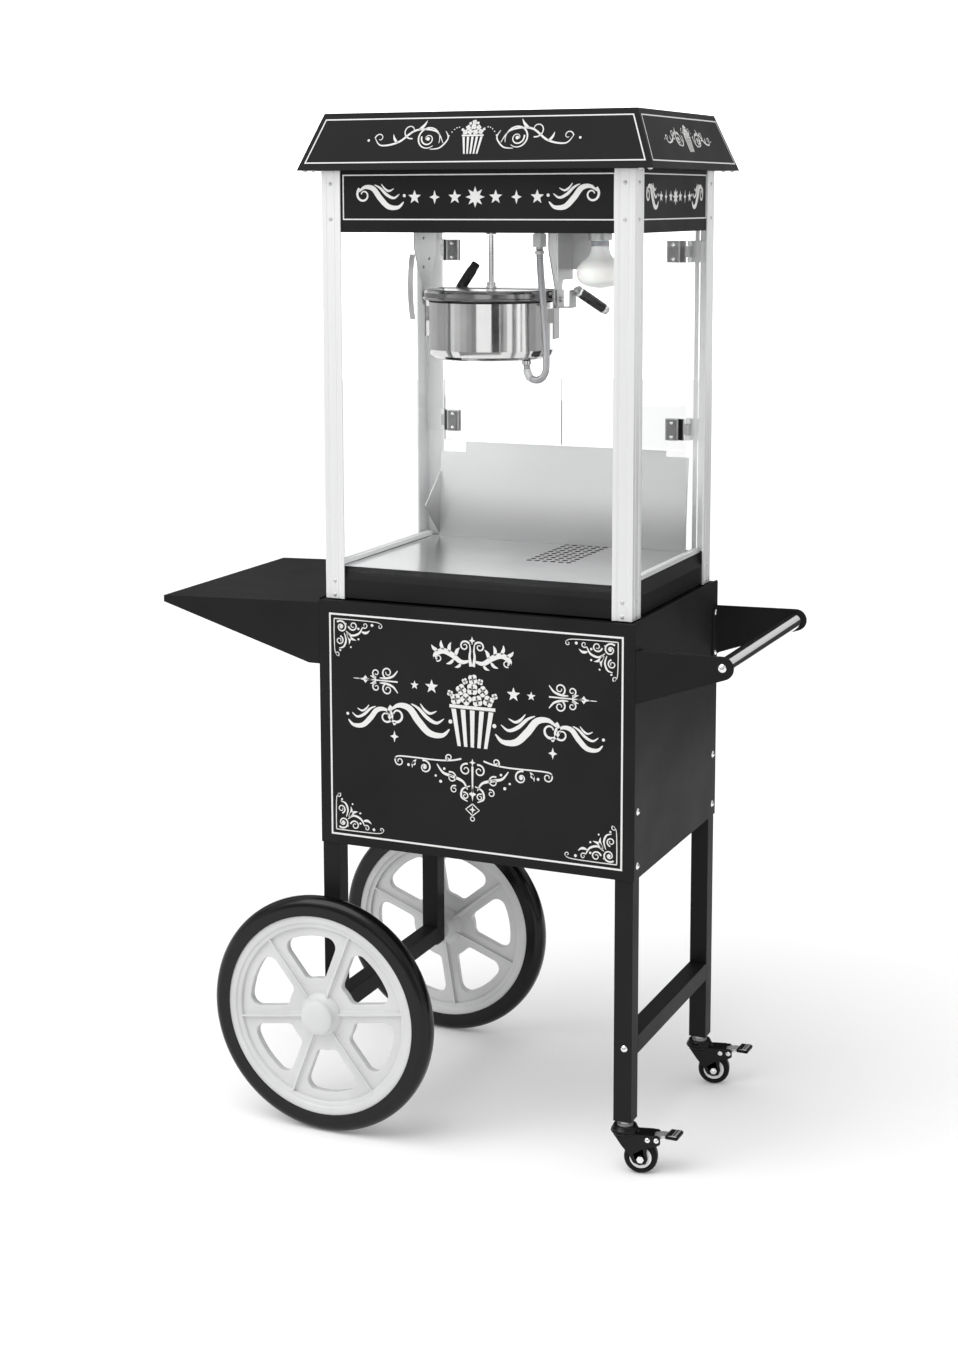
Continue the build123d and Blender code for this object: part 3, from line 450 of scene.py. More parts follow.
def loft(mesh, rows):
    """Quads between rows of vertices, each row a ring, and a cap on each end."""
    for below, above in zip(rows, rows[1:]):
        for i in range(len(below)):
            j = (i + 1) % len(below)
            mesh.faces.new([below[i], below[j], above[j], above[i]])
    mesh.faces.new(rows[0][::-1])
    mesh.faces.new(rows[-1])


class Shape:
    """Solids gathered in one mesh, in millimetres on the cart."""

    def __init__(self):
        self.mesh = bmesh.new()

    def box(self, x, y, z, place=Matrix.Identity(4)):
        corners = [Vector((a, b, c)) for a in x for b in y for c in z]
        verts = [self.mesh.verts.new(place @ corner) for corner in corners]
        for quad in ((0, 1, 3, 2), (4, 6, 7, 5), (0, 4, 5, 1), (2, 3, 7, 6), (0, 2, 6, 4), (1, 5, 7, 3)):
            self.mesh.faces.new([verts[i] for i in quad])
        return self

    def lathe(self, profile, place=Matrix.Identity(4), segments=48):
        """Profile is (radius, height) points about the local Z axis, from one end of it to the other."""
        rings = []
        for radius, height in profile:
            if radius < 1e-6:
                rings.append([self.mesh.verts.new(place @ Vector((0, 0, height)))])
                continue
            ring = []
            for step in range(segments):
                angle = 2 * math.pi * step / segments
                point = Vector((radius * math.cos(angle), radius * math.sin(angle), height))
                ring.append(self.mesh.verts.new(place @ point))
            rings.append(ring)
        for low, high in zip(rings, rings[1:]):
            for step in range(segments):
                after = (step + 1) % segments
                around = ((low, step), (low, after), (high, after), (high, step))
                quad = [ring[k % len(ring)] for ring, k in around]
                corners = list(dict.fromkeys(quad))
                if len(corners) > 2:
                    self.mesh.faces.new(corners)
        return self

    def ring(self, profile, place=Matrix.Identity(4), segments=48):
        """A closed (radius, height) outline turned about the local Z axis."""
        return self.lathe([*profile, profile[0]], place, segments)

    def dome(self, place, radius, height, steps=5, segments=20):
        """A domed head on the local XY plane."""
        ball = (radius * radius + height * height) / (2 * height)
        widest = math.asin(min(1, radius / ball))
        profile = [(0, -0.3), (radius, -0.3)]
        for step in range(steps + 1):
            angle = widest * (1 - step / steps)
            profile.append((ball * math.sin(angle), height - ball + ball * math.cos(angle)))
        profile[-1] = (0, height)
        return self.lathe(profile, place, segments)

    def prism(self, outline, plane, depth):
        """A flat outline on a plane (a function from two numbers to a point and its normal), made solid."""
        rows = [[self.mesh.verts.new(plane(u, v, height)) for u, v in outline] for height in (0, depth)]
        loft(self.mesh, rows)
        return self

    def piece(self, name, material, body, slot=None, bevel_mm=0.0, sharp_deg=35, segments=2):
        bmesh.ops.remove_doubles(self.mesh, verts=self.mesh.verts, dist=1e-4)
        bmesh.ops.recalc_face_normals(self.mesh, faces=self.mesh.faces)
        for vert in self.mesh.verts:
            vert.co = cart(*vert.co)
        mesh = bpy.data.meshes.new(name)
        self.mesh.to_mesh(mesh)
        self.mesh.free()
        return add_piece(name, mesh, material, body, bevel_mm, sharp_deg, segments)


def aim(point, direction):
    """A place at point whose Z axis runs along direction."""
    turn = Vector(direction).normalized().to_track_quat("Z", "Y").to_matrix().to_4x4()
    return Matrix.Translation(Vector(point)) @ turn


# The kettle cable

cable_r = 5.6
cable_points = [
    (49, -53, 1354.5), (49.6, -53, 1336), (51.4, -53.6, 1313), (54, -54, 1286), (56.6, -54.2, 1258),
    (58.8, -53.6, 1231), (59.8, -52.6, 1206), (59.8, -51.2, 1186), (58.6, -49.6, 1168), (48.8, -47.6, 1157),
    (35, -45.6, 1156.2), (25, -44, 1166.4), (25, -44, 1179.3),
]


def curve_mesh(curve):
    """The mesh that a curve makes."""
    holder = linked(curve.name, curve)
    bpy.context.view_layer.update()
    mesh = bpy.data.meshes.new_from_object(holder.evaluated_get(bpy.context.evaluated_depsgraph_get()))
    bpy.data.objects.remove(holder)
    return mesh


def smooth_route(name, points):
    """Points on the NURBS line whose control points are the route's."""
    curve = bpy.data.curves.new(name, "CURVE")
    curve.dimensions = "3D"
    curve.resolution_u = 24
    spline = curve.splines.new("NURBS")
    spline.points.add(len(points) - 1)
    for control, point in zip(spline.points, points):
        control.co = (*cart(*point), 1)
    spline.order_u = 3
    spline.use_endpoint_u = True
    line = curve_mesh(curve)
    route = [vert.co.copy() for vert in line.vertices]
    bpy.data.meshes.remove(line)
    return route


def evenly(route, step):
    """The same line with its points step apart."""
    lengths = [0.0]
    for before, after in zip(route, route[1:]):
        lengths.append(lengths[-1] + (after - before).length)
    count = max(2, round(lengths[-1] / step))
    points, at = [], 0
    for i in range(count + 1):
        goal = lengths[-1] * i / count
        while at < len(route) - 2 and lengths[at + 1] < goal:
            at += 1
        share = (goal - lengths[at]) / max(1e-12, lengths[at + 1] - lengths[at])
        points.append(route[at].lerp(route[at + 1], min(1, max(0, share))))
    return points


def tube_mesh(name, path, radius, sides=24):
    """A tube round a path; radius is a function of the length so far and the angle, in metres."""
    mesh = bmesh.new()
    side = None
    rings, run = [], 0.0
    for i, point in enumerate(path):
        ahead = path[min(i + 1, len(path) - 1)] - path[max(i - 1, 0)]
        ahead.normalize()
        if side is None:
            side = ahead.orthogonal().normalized()
        side = (side - ahead * side.dot(ahead)).normalized()
        across = ahead.cross(side)
        if i:
            run += (point - path[i - 1]).length
        ring = []
        for k in range(sides):
            angle = 2 * math.pi * k / sides
            spoke = side * math.cos(angle) + across * math.sin(angle)
            ring.append(mesh.verts.new(point + spoke * radius(run, angle)))
        rings.append(ring)
    loft(mesh, rings)
    made = bpy.data.meshes.new(name)
    mesh.to_mesh(made)
    mesh.free()
    return made


def kettle_cable():
    """Interlocked steel hose: a helical ridge every few millimetres."""
    pitch = 3.4 * MM
    ridge = 0.8 * MM
    route = smooth_route("cable_route", cable_points)
    path = evenly(route, 0.45 * MM)

    def radius(run, angle):
        phase = (run / pitch + angle / (2 * math.pi)) % 1.0
        rise = 0.5 + 0.5 * math.cos(2 * math.pi * phase)
        return cable_r * MM - ridge * (1 - rise ** 0.6)

    tube = tube_mesh("kettle_hose", path, radius)
    hose = add_piece("kettle_hose", tube, HOSE, None, sharp_deg=80)
    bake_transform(hose)
    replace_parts(hose, "kettle_cable")
    sleeve_path = evenly(route[-34:-8], 1 * MM)

    def sleeve_radius(run, angle):
        return (cable_r + 0.9) * MM - max(0.0, 0.003 - run) * 0.3

    tube = tube_mesh("kettle_hose_sleeve", sleeve_path, sleeve_radius)
    sleeve = add_piece("kettle_hose_sleeve", tube, ZINC, "kettle")
    clip = Shape()
    place = aim((49.3, -53, 1346.5), (0.05, 0, -1))
    clip.ring([(5.7, -2.5), (6.9, -2.5), (7.2, -1.5), (7.2, 1.5), (6.9, 2.5), (5.7, 2.5)], place, 40)
    clip.box((5.5, 10.5), (-1.3, 1.3), (-2, 2), place)
    screw = place @ Matrix.Translation((9, 0, 0)) @ Matrix.Rotation(math.pi / 2, 4, "X")
    clip.lathe([(0, -3), (1.5, -3), (1.5, 3), (0, 3)], screw, 12)
    ring = clip.piece("kettle_hose_clip", ZINC, "root", "steel_hose")


# Printed ornaments: flat strokes and shapes on a panel, in two coordinates


def spiral(centre, start_r, end_r, start_deg, turn_deg, steps=28):
    """Points round a centre whose radius runs from start_r to end_r."""
    points = []
    for i in range(steps + 1):
        share = i / steps
        radius = start_r + (end_r - start_r) * share ** 0.8
        angle = math.radians(start_deg + turn_deg * share)
        points.append((centre[0] + radius * math.cos(angle), centre[1] + radius * math.sin(angle)))
    return points


def flow(*controls, steps=14):
    """A smooth line through the control points."""
    points = []
    ends = [controls[0], *controls, controls[-1]]
    for a, b, c, d in zip(ends, ends[1:], ends[2:], ends[3:]):
        for i in range(steps):
            t = i / steps
            points.append(tuple(
                0.5 * (
                    2 * q + (r - p) * t + (2 * p - 5 * q + 4 * r - s) * t * t
                    + (3 * q - p - 3 * r + s) * t ** 3
                )
                for p, q, r, s in zip(a, b, c, d)
            ))
    points.append(controls[-1])
    return points


def swell(low, high, power=1.0):
    """A stroke width that grows from low at both ends to high in the middle."""
    return lambda share: low + (high - low) * math.sin(math.pi * share) ** power


def taper(first, last):
    return lambda share: first + (last - first) * share


def radial(centre, reaches, start_deg):
    """A closed outline of points spread evenly round a centre, each at its own reach."""
    outline = []
    for i, reach in enumerate(reaches):
        angle = math.radians(start_deg + 360 * i / len(reaches))
        outline.append((centre[0] + reach * math.cos(angle), centre[1] + reach * math.sin(angle)))
    return outline


class Print:
    """Ink on one panel. A plane turns (u, v, height) into a point on the cart."""

    depth = 0.22

    def __init__(self, plane, flip=(1, 1), shift=(0, 0), scale=1.0, shape=None):
        self.plane = plane
        self.flip = flip
        self.shift = shift
        self.scale = scale
        self.shape = shape or Shape()

    def placed(self, flip, shift, scale=1.0):
        """The same ink, whose strokes are scaled, mirrored and moved."""
        return Print(self.plane, flip, shift, scale, self.shape)

    def put(self, points):
        (flip_u, flip_v), (shift_u, shift_v), scale = self.flip, self.shift, self.scale
        return [(flip_u * scale * u + shift_u, flip_v * scale * v + shift_v) for u, v in points]

    def stroke(self, points, width):
        """A line of varying width, as a chain of thin closed blocks."""
        if not callable(width):
            width = taper(width, width)
        points = self.put(points)
        mesh = self.shape.mesh
        rows = []
        last = len(points) - 1
        for i, (u, v) in enumerate(points):
            (u0, v0), (u1, v1) = points[max(0, i - 1)], points[min(last, i + 1)]
            length = math.hypot(u1 - u0, v1 - v0) or 1.0
            half = width(i / last) / 2
            du, dv = -(v1 - v0) / length * half, (u1 - u0) / length * half
            corners = ((1, self.depth), (-1, self.depth), (-1, 0.0), (1, 0.0))
            rows.append([mesh.verts.new(self.plane(u + side * du, v + side * dv, h)) for side, h in corners])
        loft(mesh, rows)

    def curls(self, *rows):
        """Spirals from rows of centre, first and last radius, first angle, turn, first and last width."""
        for u, v, start_r, end_r, start_deg, turn_deg, first, last in rows:
            self.stroke(spiral((u, v), start_r, end_r, start_deg, turn_deg), taper(first, last))

    def vines(self, *rows):
        """Smooth lines, each from its least width, its greatest width and its control points."""
        for low, high, *controls in rows:
            self.stroke(flow(*controls), swell(low, high))

    def patch(self, outline):
        self.shape.prism(self.put(outline), self.plane, self.depth)

    def dot(self, centre, radius):
        self.patch(radial(centre, [radius] * 20, 0))

    def dots(self, *rows):
        for u, v, radius in rows:
            self.dot((u, v), radius)

    def diamond(self, centre, half_u, half_v):
        """A four-pointed spark."""
        waist = 0.374
        spark = radial((0, 0), [1, waist] * 4, 0)
        self.patch([(centre[0] + half_u * u, centre[1] + half_v * v) for u, v in spark])

    def star(self, centre, radius, points=5, inner=0.42):
        self.patch(radial(centre, [radius, radius * inner] * points, 90))

    def leaf(self, start, end, width, bend=0.0):
        """A pointed leaf from start to end that bows sideways by bend."""
        along = (end[0] - start[0], end[1] - start[1])
        length = math.hypot(*along)
        side = (-along[1] / length, along[0] / length)
        points = []
        for i in range(11):
            t = i / 10
            off = bend * math.sin(math.pi * t)
            points.append((start[0] + along[0] * t + side[0] * off, start[1] + along[1] * t + side[1] * off))
        self.stroke(points, lambda share: 0.3 + width * math.sin(math.pi * min(1, share ** 0.75)) ** 0.9)

    def leaves(self, *rows):
        """Leaves from rows of start, end, width and bend."""
        for u0, v0, u1, v1, width, bend in rows:
            self.leaf((u0, v0), (u1, v1), width, bend)

    def frame(self, corners, width):
        """A border line with mitred corners round a convex outline."""
        count = len(corners)
        rings = []
        for offset in (width / 2, -width / 2):
            ring = []
            for i in range(count):
                before, at, after = corners[i - 1], corners[i], corners[(i + 1) % count]
                one = Vector((at[0] - before[0], at[1] - before[1])).normalized()
                two = Vector((after[0] - at[0], after[1] - at[1])).normalized()
                mid = Vector((-one.y - two.y, one.x + two.x))
                mid /= max(1e-9, mid.dot(Vector((-one.y, one.x))))
                ring.append((at[0] + mid.x * offset, at[1] + mid.y * offset))
            rings.append(ring)
        for i in range(count):
            j = (i + 1) % count
            self.patch([rings[0][i], rings[0][j], rings[1][j], rings[1][i]])

    def piece(self, name, body="root", slot="black_powder_coat"):
        return self.shape.piece(name, INK, body, slot, sharp_deg=30)


def front_plane(y):
    return lambda u, v, height: Vector((u, y - 0.06 - height, v))


def side_plane(x, side):
    """A wall facing +X or -X; u runs to the right as it is looked at."""
    return lambda u, v, height: Vector((x + side * (0.06 + height), side * u, v))


def roof_plane(face):
    """A sloping roof face; u is measured from its middle and v up its slope from the eaves."""
    rise = ROOF_TOP - ROOF_BOTTOM
    width_drop = (ROOF_RIGHT - ROOF_LEFT - ROOF_TOP_W) / 2
    depth_drop = (ROOF_BACK - ROOF_FRONT - ROOF_TOP_D) / 2
    out, along, foot, drop = {
        "front": ((0, -1), (1, 0), -ROOF_FRONT, depth_drop),
        "back": ((0, 1), (-1, 0), ROOF_BACK, depth_drop),
        "right": ((1, 0), (0, 1), ROOF_RIGHT, width_drop),
        "left": ((-1, 0), (0, -1), -ROOF_LEFT, width_drop),
    }[face]
    length = math.hypot(rise, drop)
    slope = Vector((-out[0] * drop, -out[1] * drop, rise)) / length
    normal = Vector((out[0] * rise, out[1] * rise, drop)) / length

    def plane(u, v, height):
        base = Vector((out[0] * foot + along[0] * u, out[1] * foot + along[1] * u, ROOF_BOTTOM))
        return base + slope * v + normal * (height + 0.06)

    return plane, length


def scroll_pair(ink, shift, scale):
    """Two long vines, mirrored, each with an open loop, a tight curl and a tail."""
    for side in (-1, 1):
        pen = ink.placed((side, 1), shift, scale)
        pen.stroke(spiral((62, 2), 17, 12, 200, -330), swell(0.9, 2.4))
        pen.curls(
            (62, 2, 10, 3, 20, -400, 2.4, 0.9), (131, 4, 7, 2, 0, 300, 1.8, 0.8),
            (88, 13, 11, 3, 250, 380, 2.0, 0.9),
        )
        pen.vines(
            (0.8, 3.0, (40, -4), (52, 12), (80, 14), (104, -2), (128, -6), (138, 4)),
            (0.8, 2.2, (38, 12), (34, 2), (44, -10), (58, -12)),
        )
        pen.leaves((78, 14, 66, 27, 3.4 * scale, 2 / scale), (104, -3, 112, 9, 3.0 * scale, -2 / scale))
        pen.dots((62, 2, 2.4), (147, 1, 1.7))


def tub(ink, centre, height):
    """A striped tub heaped with popped corn."""
    u0, v0 = centre
    unit = height / 100
    stripes = 5
    for i in range(stripes):
        left, right = (2 * i) / (2 * stripes - 1), (2 * i + 1) / (2 * stripes - 1)
        low = [u0 + unit * (-24 + 48 * share) for share in (left, right)]
        high = [u0 + unit * (-34 + 68 * share) for share in (left, right)]
        ink.patch([(low[0], v0), (low[1], v0), (high[1], v0 + 56 * unit), (high[0], v0 + 56 * unit)])
    ink.stroke([(u0 - 37 * unit, v0 + 60 * unit), (u0 + 37 * unit, v0 + 60 * unit)], 5 * unit)
    puffs = (
        (-27, 71, 9), (-10, 72, 9.5), (8, 71, 9), (26, 72, 9), (-18, 86, 8.5), (0, 88, 9.5),
        (17, 86, 8.5), (1, 103, 8), (-36, 79, 5), (36, 80, 5), (-12, 99, 5), (13, 100, 5),
    )
    for u, v, r in puffs:
        for k in range(4):
            angle = math.radians(45 + 90 * k + 13 * u)
            lobe = (u0 + unit * (u + 0.5 * r * math.cos(angle)), v0 + unit * (v + 0.5 * r * math.sin(angle)))
            ink.dot(lobe, 0.5 * r * unit)


def s_scroll(ink, centre, flip, size=1.0):
    """A bold wave with a curled crest and two trailing strokes."""
    pen = ink.placed(flip, centre, size)
    wave = flow((-34, -6), (-26, -13), (-12, -12), (0, -1), (10, 11), (22, 13), (31, 7))
    pen.stroke(wave, swell(1.2, 7.5 * size, 0.9))
    pen.curls((24, 3, 10.5, 3.4, 55, -400, 3.4 * size, 1.4 * size))
    pen.vines(
        (0.9, 3.8 * size, (-28, 4), (-20, -1), (-10, 3), (0, 12), (8, 16)),
        (0.8, 2.8 * size, (-20, 11), (-13, 8), (-7, 11), (-2, 17)),
    )
    pen.dots((-35, 2, 2.1))


def corner_filigree(ink, corner, flip):
    """Curls and leaves that fill one corner inside the border."""
    pen = ink.placed(flip, corner)
    pen.stroke(flow((2, 2), (40, 2), (74, 3), (82, 7)), taper(1.6, 1.0))
    pen.stroke(flow((2, 2), (2, 30), (3, 52), (7, 59)), taper(1.6, 1.0))
    pen.curls(
        (79, 9, 4, 1.2, -60, 330, 1.5, 0.8), (6.5, 56, 4, 1.2, 60, -330, 1.5, 0.8),
        (14, 14, 10, 2.4, 225, 520, 2.6, 1.2), (34, 11, 8, 2, 170, -480, 2.4, 1.0),
        (11, 35, 7, 2, -80, 480, 2.2, 1.0), (54, 9, 5, 1.4, 140, -380, 1.8, 0.8),
    )
    pen.vines(
        (1.0, 3.2, (22, 20), (32, 26), (44, 22), (50, 12)),
        (1.0, 2.8, (19, 23), (22, 34), (18, 44), (10, 47)),
    )
    pen.leaves((24, 22, 39, 33, 4.4, 3), (23, 24, 27, 40, 4.0, -3), (48, 19, 62, 16, 3.6, 3))
    pen.dots(
        (14, 14, 2.6), (66, 8, 2.2), (43, 31, 1.6), (30, 44, 1.4), (12, 50, 1.6), (43, 15, 1.8), (22, 9, 1.2),
    )


def crest(ink, centre):
    """The ornament at the top of the front panel: two leafy arms and a small finial."""
    ink.placed((1, 1), centre).diamond((0, 17), 5, 6.5)
    for side in (-1, 1):
        pen = ink.placed((side, 1), centre)
        pen.curls((12, 8, 8.5, 2, 150, -470, 3.0, 1.2), (55, -13, 6.5, 2, 10, -420, 2.4, 1.0))
        pen.stroke(flow((2, -22), (4, -8), (3, 2), (4, 12)), taper(5.0, 1.4))
        pen.stroke(flow((5, -14), (18, -16), (34, -6), (48, -2), (60, -9), (58, -18)), swell(2.0, 8.5, 0.7))
        pen.leaves(
            (26, -8, 20, 5, 5.2, -2), (36, -3, 34, 12, 5.2, -2), (46, 0, 50, 14, 5.2, -2),
            (55, -2, 66, 6, 5.2, -2), (30, -13, 42, -21, 4.4, -2), (18, -18, 28, -25, 4.0, -2),
        )


def spearhead(ink, centre, flip):
    """A finial that points outwards, with two pairs of curls."""
    pen = ink.placed(flip, centre)
    pen.stroke([(0, 0), (54, 0)], taper(2.4, 1.6))
    pen.diamond((54, 0), 13, 6)
    pen.stroke([(62, 0), (74, 0)], taper(1.8, 0.9))
    for v in (-1, 1):
        pen = ink.placed((flip[0], v), centre)
        pen.curls((36, 11, 7, 2, -90, 420, 2.4, 1.2), (17, 13, 9, 2.4, -60, 440, 2.6, 1.2))
        pen.vines((1.2, 3.4, (0, 17), (8, 8), (20, 4), (30, 4)))
        pen.leaf((36, 1), (46, 6), 3.0, 1)


def pendant(ink, centre):
    """The hanging ornament under the emblem: a bar with curled ends, loops and a dropped finial."""
    for side in (-1, 1):
        pen = ink.placed((side, 1), centre)
        pen.stroke(flow((18, 6), (34, 2), (60, 0), (118, 0), (127, -5)), taper(2.6, 2.0))
        pen.stroke([(0, -61), (11, -70), (0, -79)], taper(1.8, 1.8))
        pen.curls(
            (120, -8, 8, 2.2, 40, -430, 2.4, 1.2), (78, -13, 11, 2.6, 70, 470, 2.8, 1.2),
            (38, 6, 6, 1.8, -60, 420, 2.4, 1.2), (11, -10, 10, 2.4, 110, -460, 2.8, 1.2),
            (34, -24, 9, 2.2, 60, 460, 2.4, 1.1), (30, -42, 6.5, 1.8, 120, -440, 2.2, 1.0),
            (12, -50, 6, 1.6, 60, 420, 2.2, 1.0),
        )
        pen.vines(
            (1.4, 4.4, (58, -6), (48, -18), (34, -22), (16, -28), (8, -40)),
            (1.2, 3.2, (4, -34), (16, -40), (18, -52), (8, -58)),
        )
        pen.dots(
            (78, -13, 3.0), (96, -9, 3.0), (105, -12, 2.2), (52, -32, 2.4), (46, -12, 2.0), (60, -24, 1.8),
        )
        pen.leaf((92, -3), (99, -16), 3.4, 2)
    pen = ink.placed((1, 1), centre)
    for v, half_u, half_v in ((2, 5, 6), (-46, 6, 11), (-70, 5, 6)):
        pen.diamond((0, v), half_u, half_v)
    pen.stroke([(0, -4), (0, -44)], taper(3.4, 2.0))
    pen.stroke(spiral((0, -84), 3.4, 3.0, 90, 350), 1.4)


def front_panel_print():
    ink = Print(front_plane(CAB_FRONT))
    left, right, low, high = -235, 235, CAB_BOTTOM + 16, CAB_TOP - 20
    ink.frame([(left, low), (right, low), (right, high), (left, high)], 2.8)
    inset = 5
    for u, flip_u in ((left + inset, 1), (right - inset, -1)):
        for v, flip_v in ((low + inset, 1), (high - inset, -1)):
            corner_filigree(ink, (u, v), (flip_u, flip_v))
    crest(ink, (0, 766))
    for side in (-1, 1):
        spearhead(ink, (side * 122, 710), (side, 1))
        s_scroll(ink, (side * 88, 655), (side, 1), 1.5)
        s_scroll(ink, (side * 168, 652), (-side, 1), 1.1)
        ink.diamond((side * 128, 626), 7, 9)
        ink.star((side * 66, 708), 11)
        ink.star((side * 94, 708), 7)
        ink.dot((side * 128, 646), 2.6)
    tub(ink, (0, 622), 100)
    pendant(ink, (0, 597))
    ink.piece("front_panel_print")


def header_print(name, plane, left, right, spread):
    """Border, two bold scrolls and a row of stars on one side of the header."""
    ink = Print(plane)
    low, high = HEAD_BOTTOM + 19, HEAD_TOP - 6.8
    ink.frame([(left, low), (right, low), (right, high), (left, high)], 1.8)
    middle, level = (left + right) / 2, (low + high) / 2
    for side in (-1, 1):
        s_scroll(ink, (middle + side * 0.74 * spread, level), (side * spread / 205, 1), 1.12)
    shrink = spread / 205
    for place, kind in enumerate(("star", "diamond", "star", "big", "star", "diamond", "star")):
        centre = (middle + 32 * (place - 3) * shrink, level)
        if kind == "star":
            ink.star(centre, 10.5 * max(0.8, shrink))
        elif kind == "diamond":
            ink.diamond(centre, 8 * shrink, 10)
        else:
            ink.star(centre, 15 * max(0.8, shrink), 8, 0.5)
    ink.piece(name)


def roof_print(face, ornament=True):
    """Border and vine on one sloping face of the roof."""
    plane, length = roof_plane(face)
    wide = face in ("front", "back")
    foot = (ROOF_RIGHT - ROOF_LEFT if wide else ROOF_BACK - ROOF_FRONT) / 2
    head = (ROOF_TOP_W if wide else ROOF_TOP_D) / 2
    lean = (foot - head) / length
    low, high, inset = 11.5, length - 10, 8.5
    corners = [(foot - inset - lean * low, low), (head - inset + lean * (length - high), high)]
    corners += [(-u, v) for u, v in reversed(corners)]
    ink = Print(plane)
    ink.frame(corners, 1.9)
    if ornament:
        scale = 1.12 if wide else 0.72
        scroll_pair(ink, (0, 44), scale)
        size = 46 if wide else 38
        tub(ink, (0, 44 - size / 2 + 2), size)
        for side in (-1, 1):
            for k in range(5):
                ink.dot((side * scale * (20 + 3.2 * k), 63 - 0.78 * k * k), 0.9)
    ink.piece(f"roof_print_{face}")


def prints():
    front_panel_print()
    header_print("header_print_front", front_plane(HEAD_FRONT), -210, 214, 205)
    back_edge = HEAD_BACK - 35
    front_edge = HEAD_FRONT + 33
    header_print("header_print_right", side_plane(HEAD_RIGHT, 1), front_edge, back_edge, 138)
    header_print("header_print_left", side_plane(HEAD_LEFT, -1), -back_edge, -front_edge, 138)
    for face in ("front", "right", "left"):
        roof_print(face)
    roof_print("back", ornament=False)


# Pieces that stand for CAD nodes with rounded edges


def softened_nodes():
    for node, bevel_mm in (
        ("cabinet_front_panel", 1.2), ("cabinet_left_panel", 0.5), ("cabinet_right_panel", 0.5),
        ("legs_left", 1.6), ("legs_right", 1.6), ("stretchers", 1.6), ("side_shelf", 0.6),
        ("handle_brackets", 0.7), ("roof", 0.3),
    ):
        soften(node, f"{node}_finished", COAT, bevel_mm)
    soften("corner_posts", "corner_posts_finished", ALUMINIUM, 0.9)


def split_node(node, names):
    """Stands for a CAD node with one piece for each of its solids, largest first."""
    body = nodes[node]["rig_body"]
    pieces = []
    for (name, material, bevel), mesh in zip(names, loose_parts(node)):
        pieces.append(add_piece(name, mesh, material, body, bevel))
    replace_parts(pieces[0], node)


def kettle_lids():
    """Steel flaps and bracket with round black grips on chrome ferrules."""
    split_node("lid_rear", (("lid_rear_flap", SHADED_LID, 0.3), ("lid_rear_grip_core", GRIP, 1.0)))
    soften("kettle_handle", "tilt_bracket", ZINC, 0.5)
    at_base, at_end = (-2.5, 4.5), (59, 2.6)
    for name, body, slot, base, tip, length, end, ferrules in (
        ("tilt", "kettle", "black_grip", (92, -4, 1288), (116, 52, 1257), 62, 59, (at_base, at_end)),
        ("lid", "kettle_lid_rear", "rear_lid", (-126, 45, 1285), (-106, 65, 1325), 40, 40, (at_base,)),
    ):
        way = (Vector(tip) - Vector(base)).normalized()
        place = aim(base, way)
        grip = Shape()
        tail = [(7.9, end - 2.5), (6.9, end - 0.4), (3, end)]
        grip.ring([(5, 2), (7.2, 2), (7.9, 4), (8.1, length * 0.5), *tail], place, 40)
        grip.piece(f"{name}_grip", GRIP, body, slot, 0.5)
        rings = Shape()
        for start, wide in ferrules:
            stop = start + wide
            rounded = [(8.2, start + 0.6), (8.2, stop - 0.6)]
            rings.ring([(3, start), (7.8, start), *rounded, (7.8, stop), (3, stop)], place, 40)
        rings.dome(aim(Vector(base) + way * (length - 0.5), way), 4.2, 1.6)
        rings.piece(f"{name}_grip_ferrules", CHROME, body, slot)


SPOKE_TURNS = {"front": 9, "rear": 21}


def wheel_place(end):
    """The wheel's own axes: its outer face towards local Z, its first rib along local X."""
    plane = sum(span(f"tyre_{end}")[1]) / 2
    place = Matrix.Translation((WHEEL_X, plane, WHEEL_Z))
    if end == "rear":
        place @= Matrix.Rotation(math.pi, 4, "Z")
    turn = math.radians(SPOKE_TURNS[end])
    return place @ Matrix.Rotation(math.pi / 2, 4, "X") @ Matrix.Rotation(turn, 4, "Z")


def arc(centre, radius, first, last, steps):
    """Points on a circle; the angles are in degrees."""
    angles = [math.radians(first + (last - first) * i / steps) for i in range(steps + 1)]
    return [(centre[0] + radius * math.cos(a), centre[1] + radius * math.sin(a)) for a in angles]


def spoke_window(turn_deg):
    """The rounded opening between two spokes, 60 degrees apart."""
    half_spoke, inner, outer, tight, wide = 14.5, 57.0, 124.0, 10.0, 15.0
    near = (math.sqrt((inner + tight) ** 2 - (half_spoke + tight) ** 2), half_spoke + tight)
    far = (math.sqrt((outer - wide) ** 2 - (half_spoke + wide) ** 2), half_spoke + wide)
    near_deg, far_deg = (math.degrees(math.atan2(c[1], c[0])) for c in (near, far))
    half = arc((0, 0), inner, 30, near_deg, 4) + arc(near, tight, near_deg + 180, 270, 8)
    half += arc(far, wide, -90, far_deg, 12) + arc((0, 0), outer, far_deg, 30, 8)
    points = [(math.hypot(x, y), math.degrees(math.atan2(y, x))) for x, y in half]
    points += [(r, 60 - a) for r, a in reversed(points[1:-1])]
    turned = [(r, math.radians(a + turn_deg)) for r, a in points]
    return [(r * math.cos(a), r * math.sin(a)) for r, a in turned]


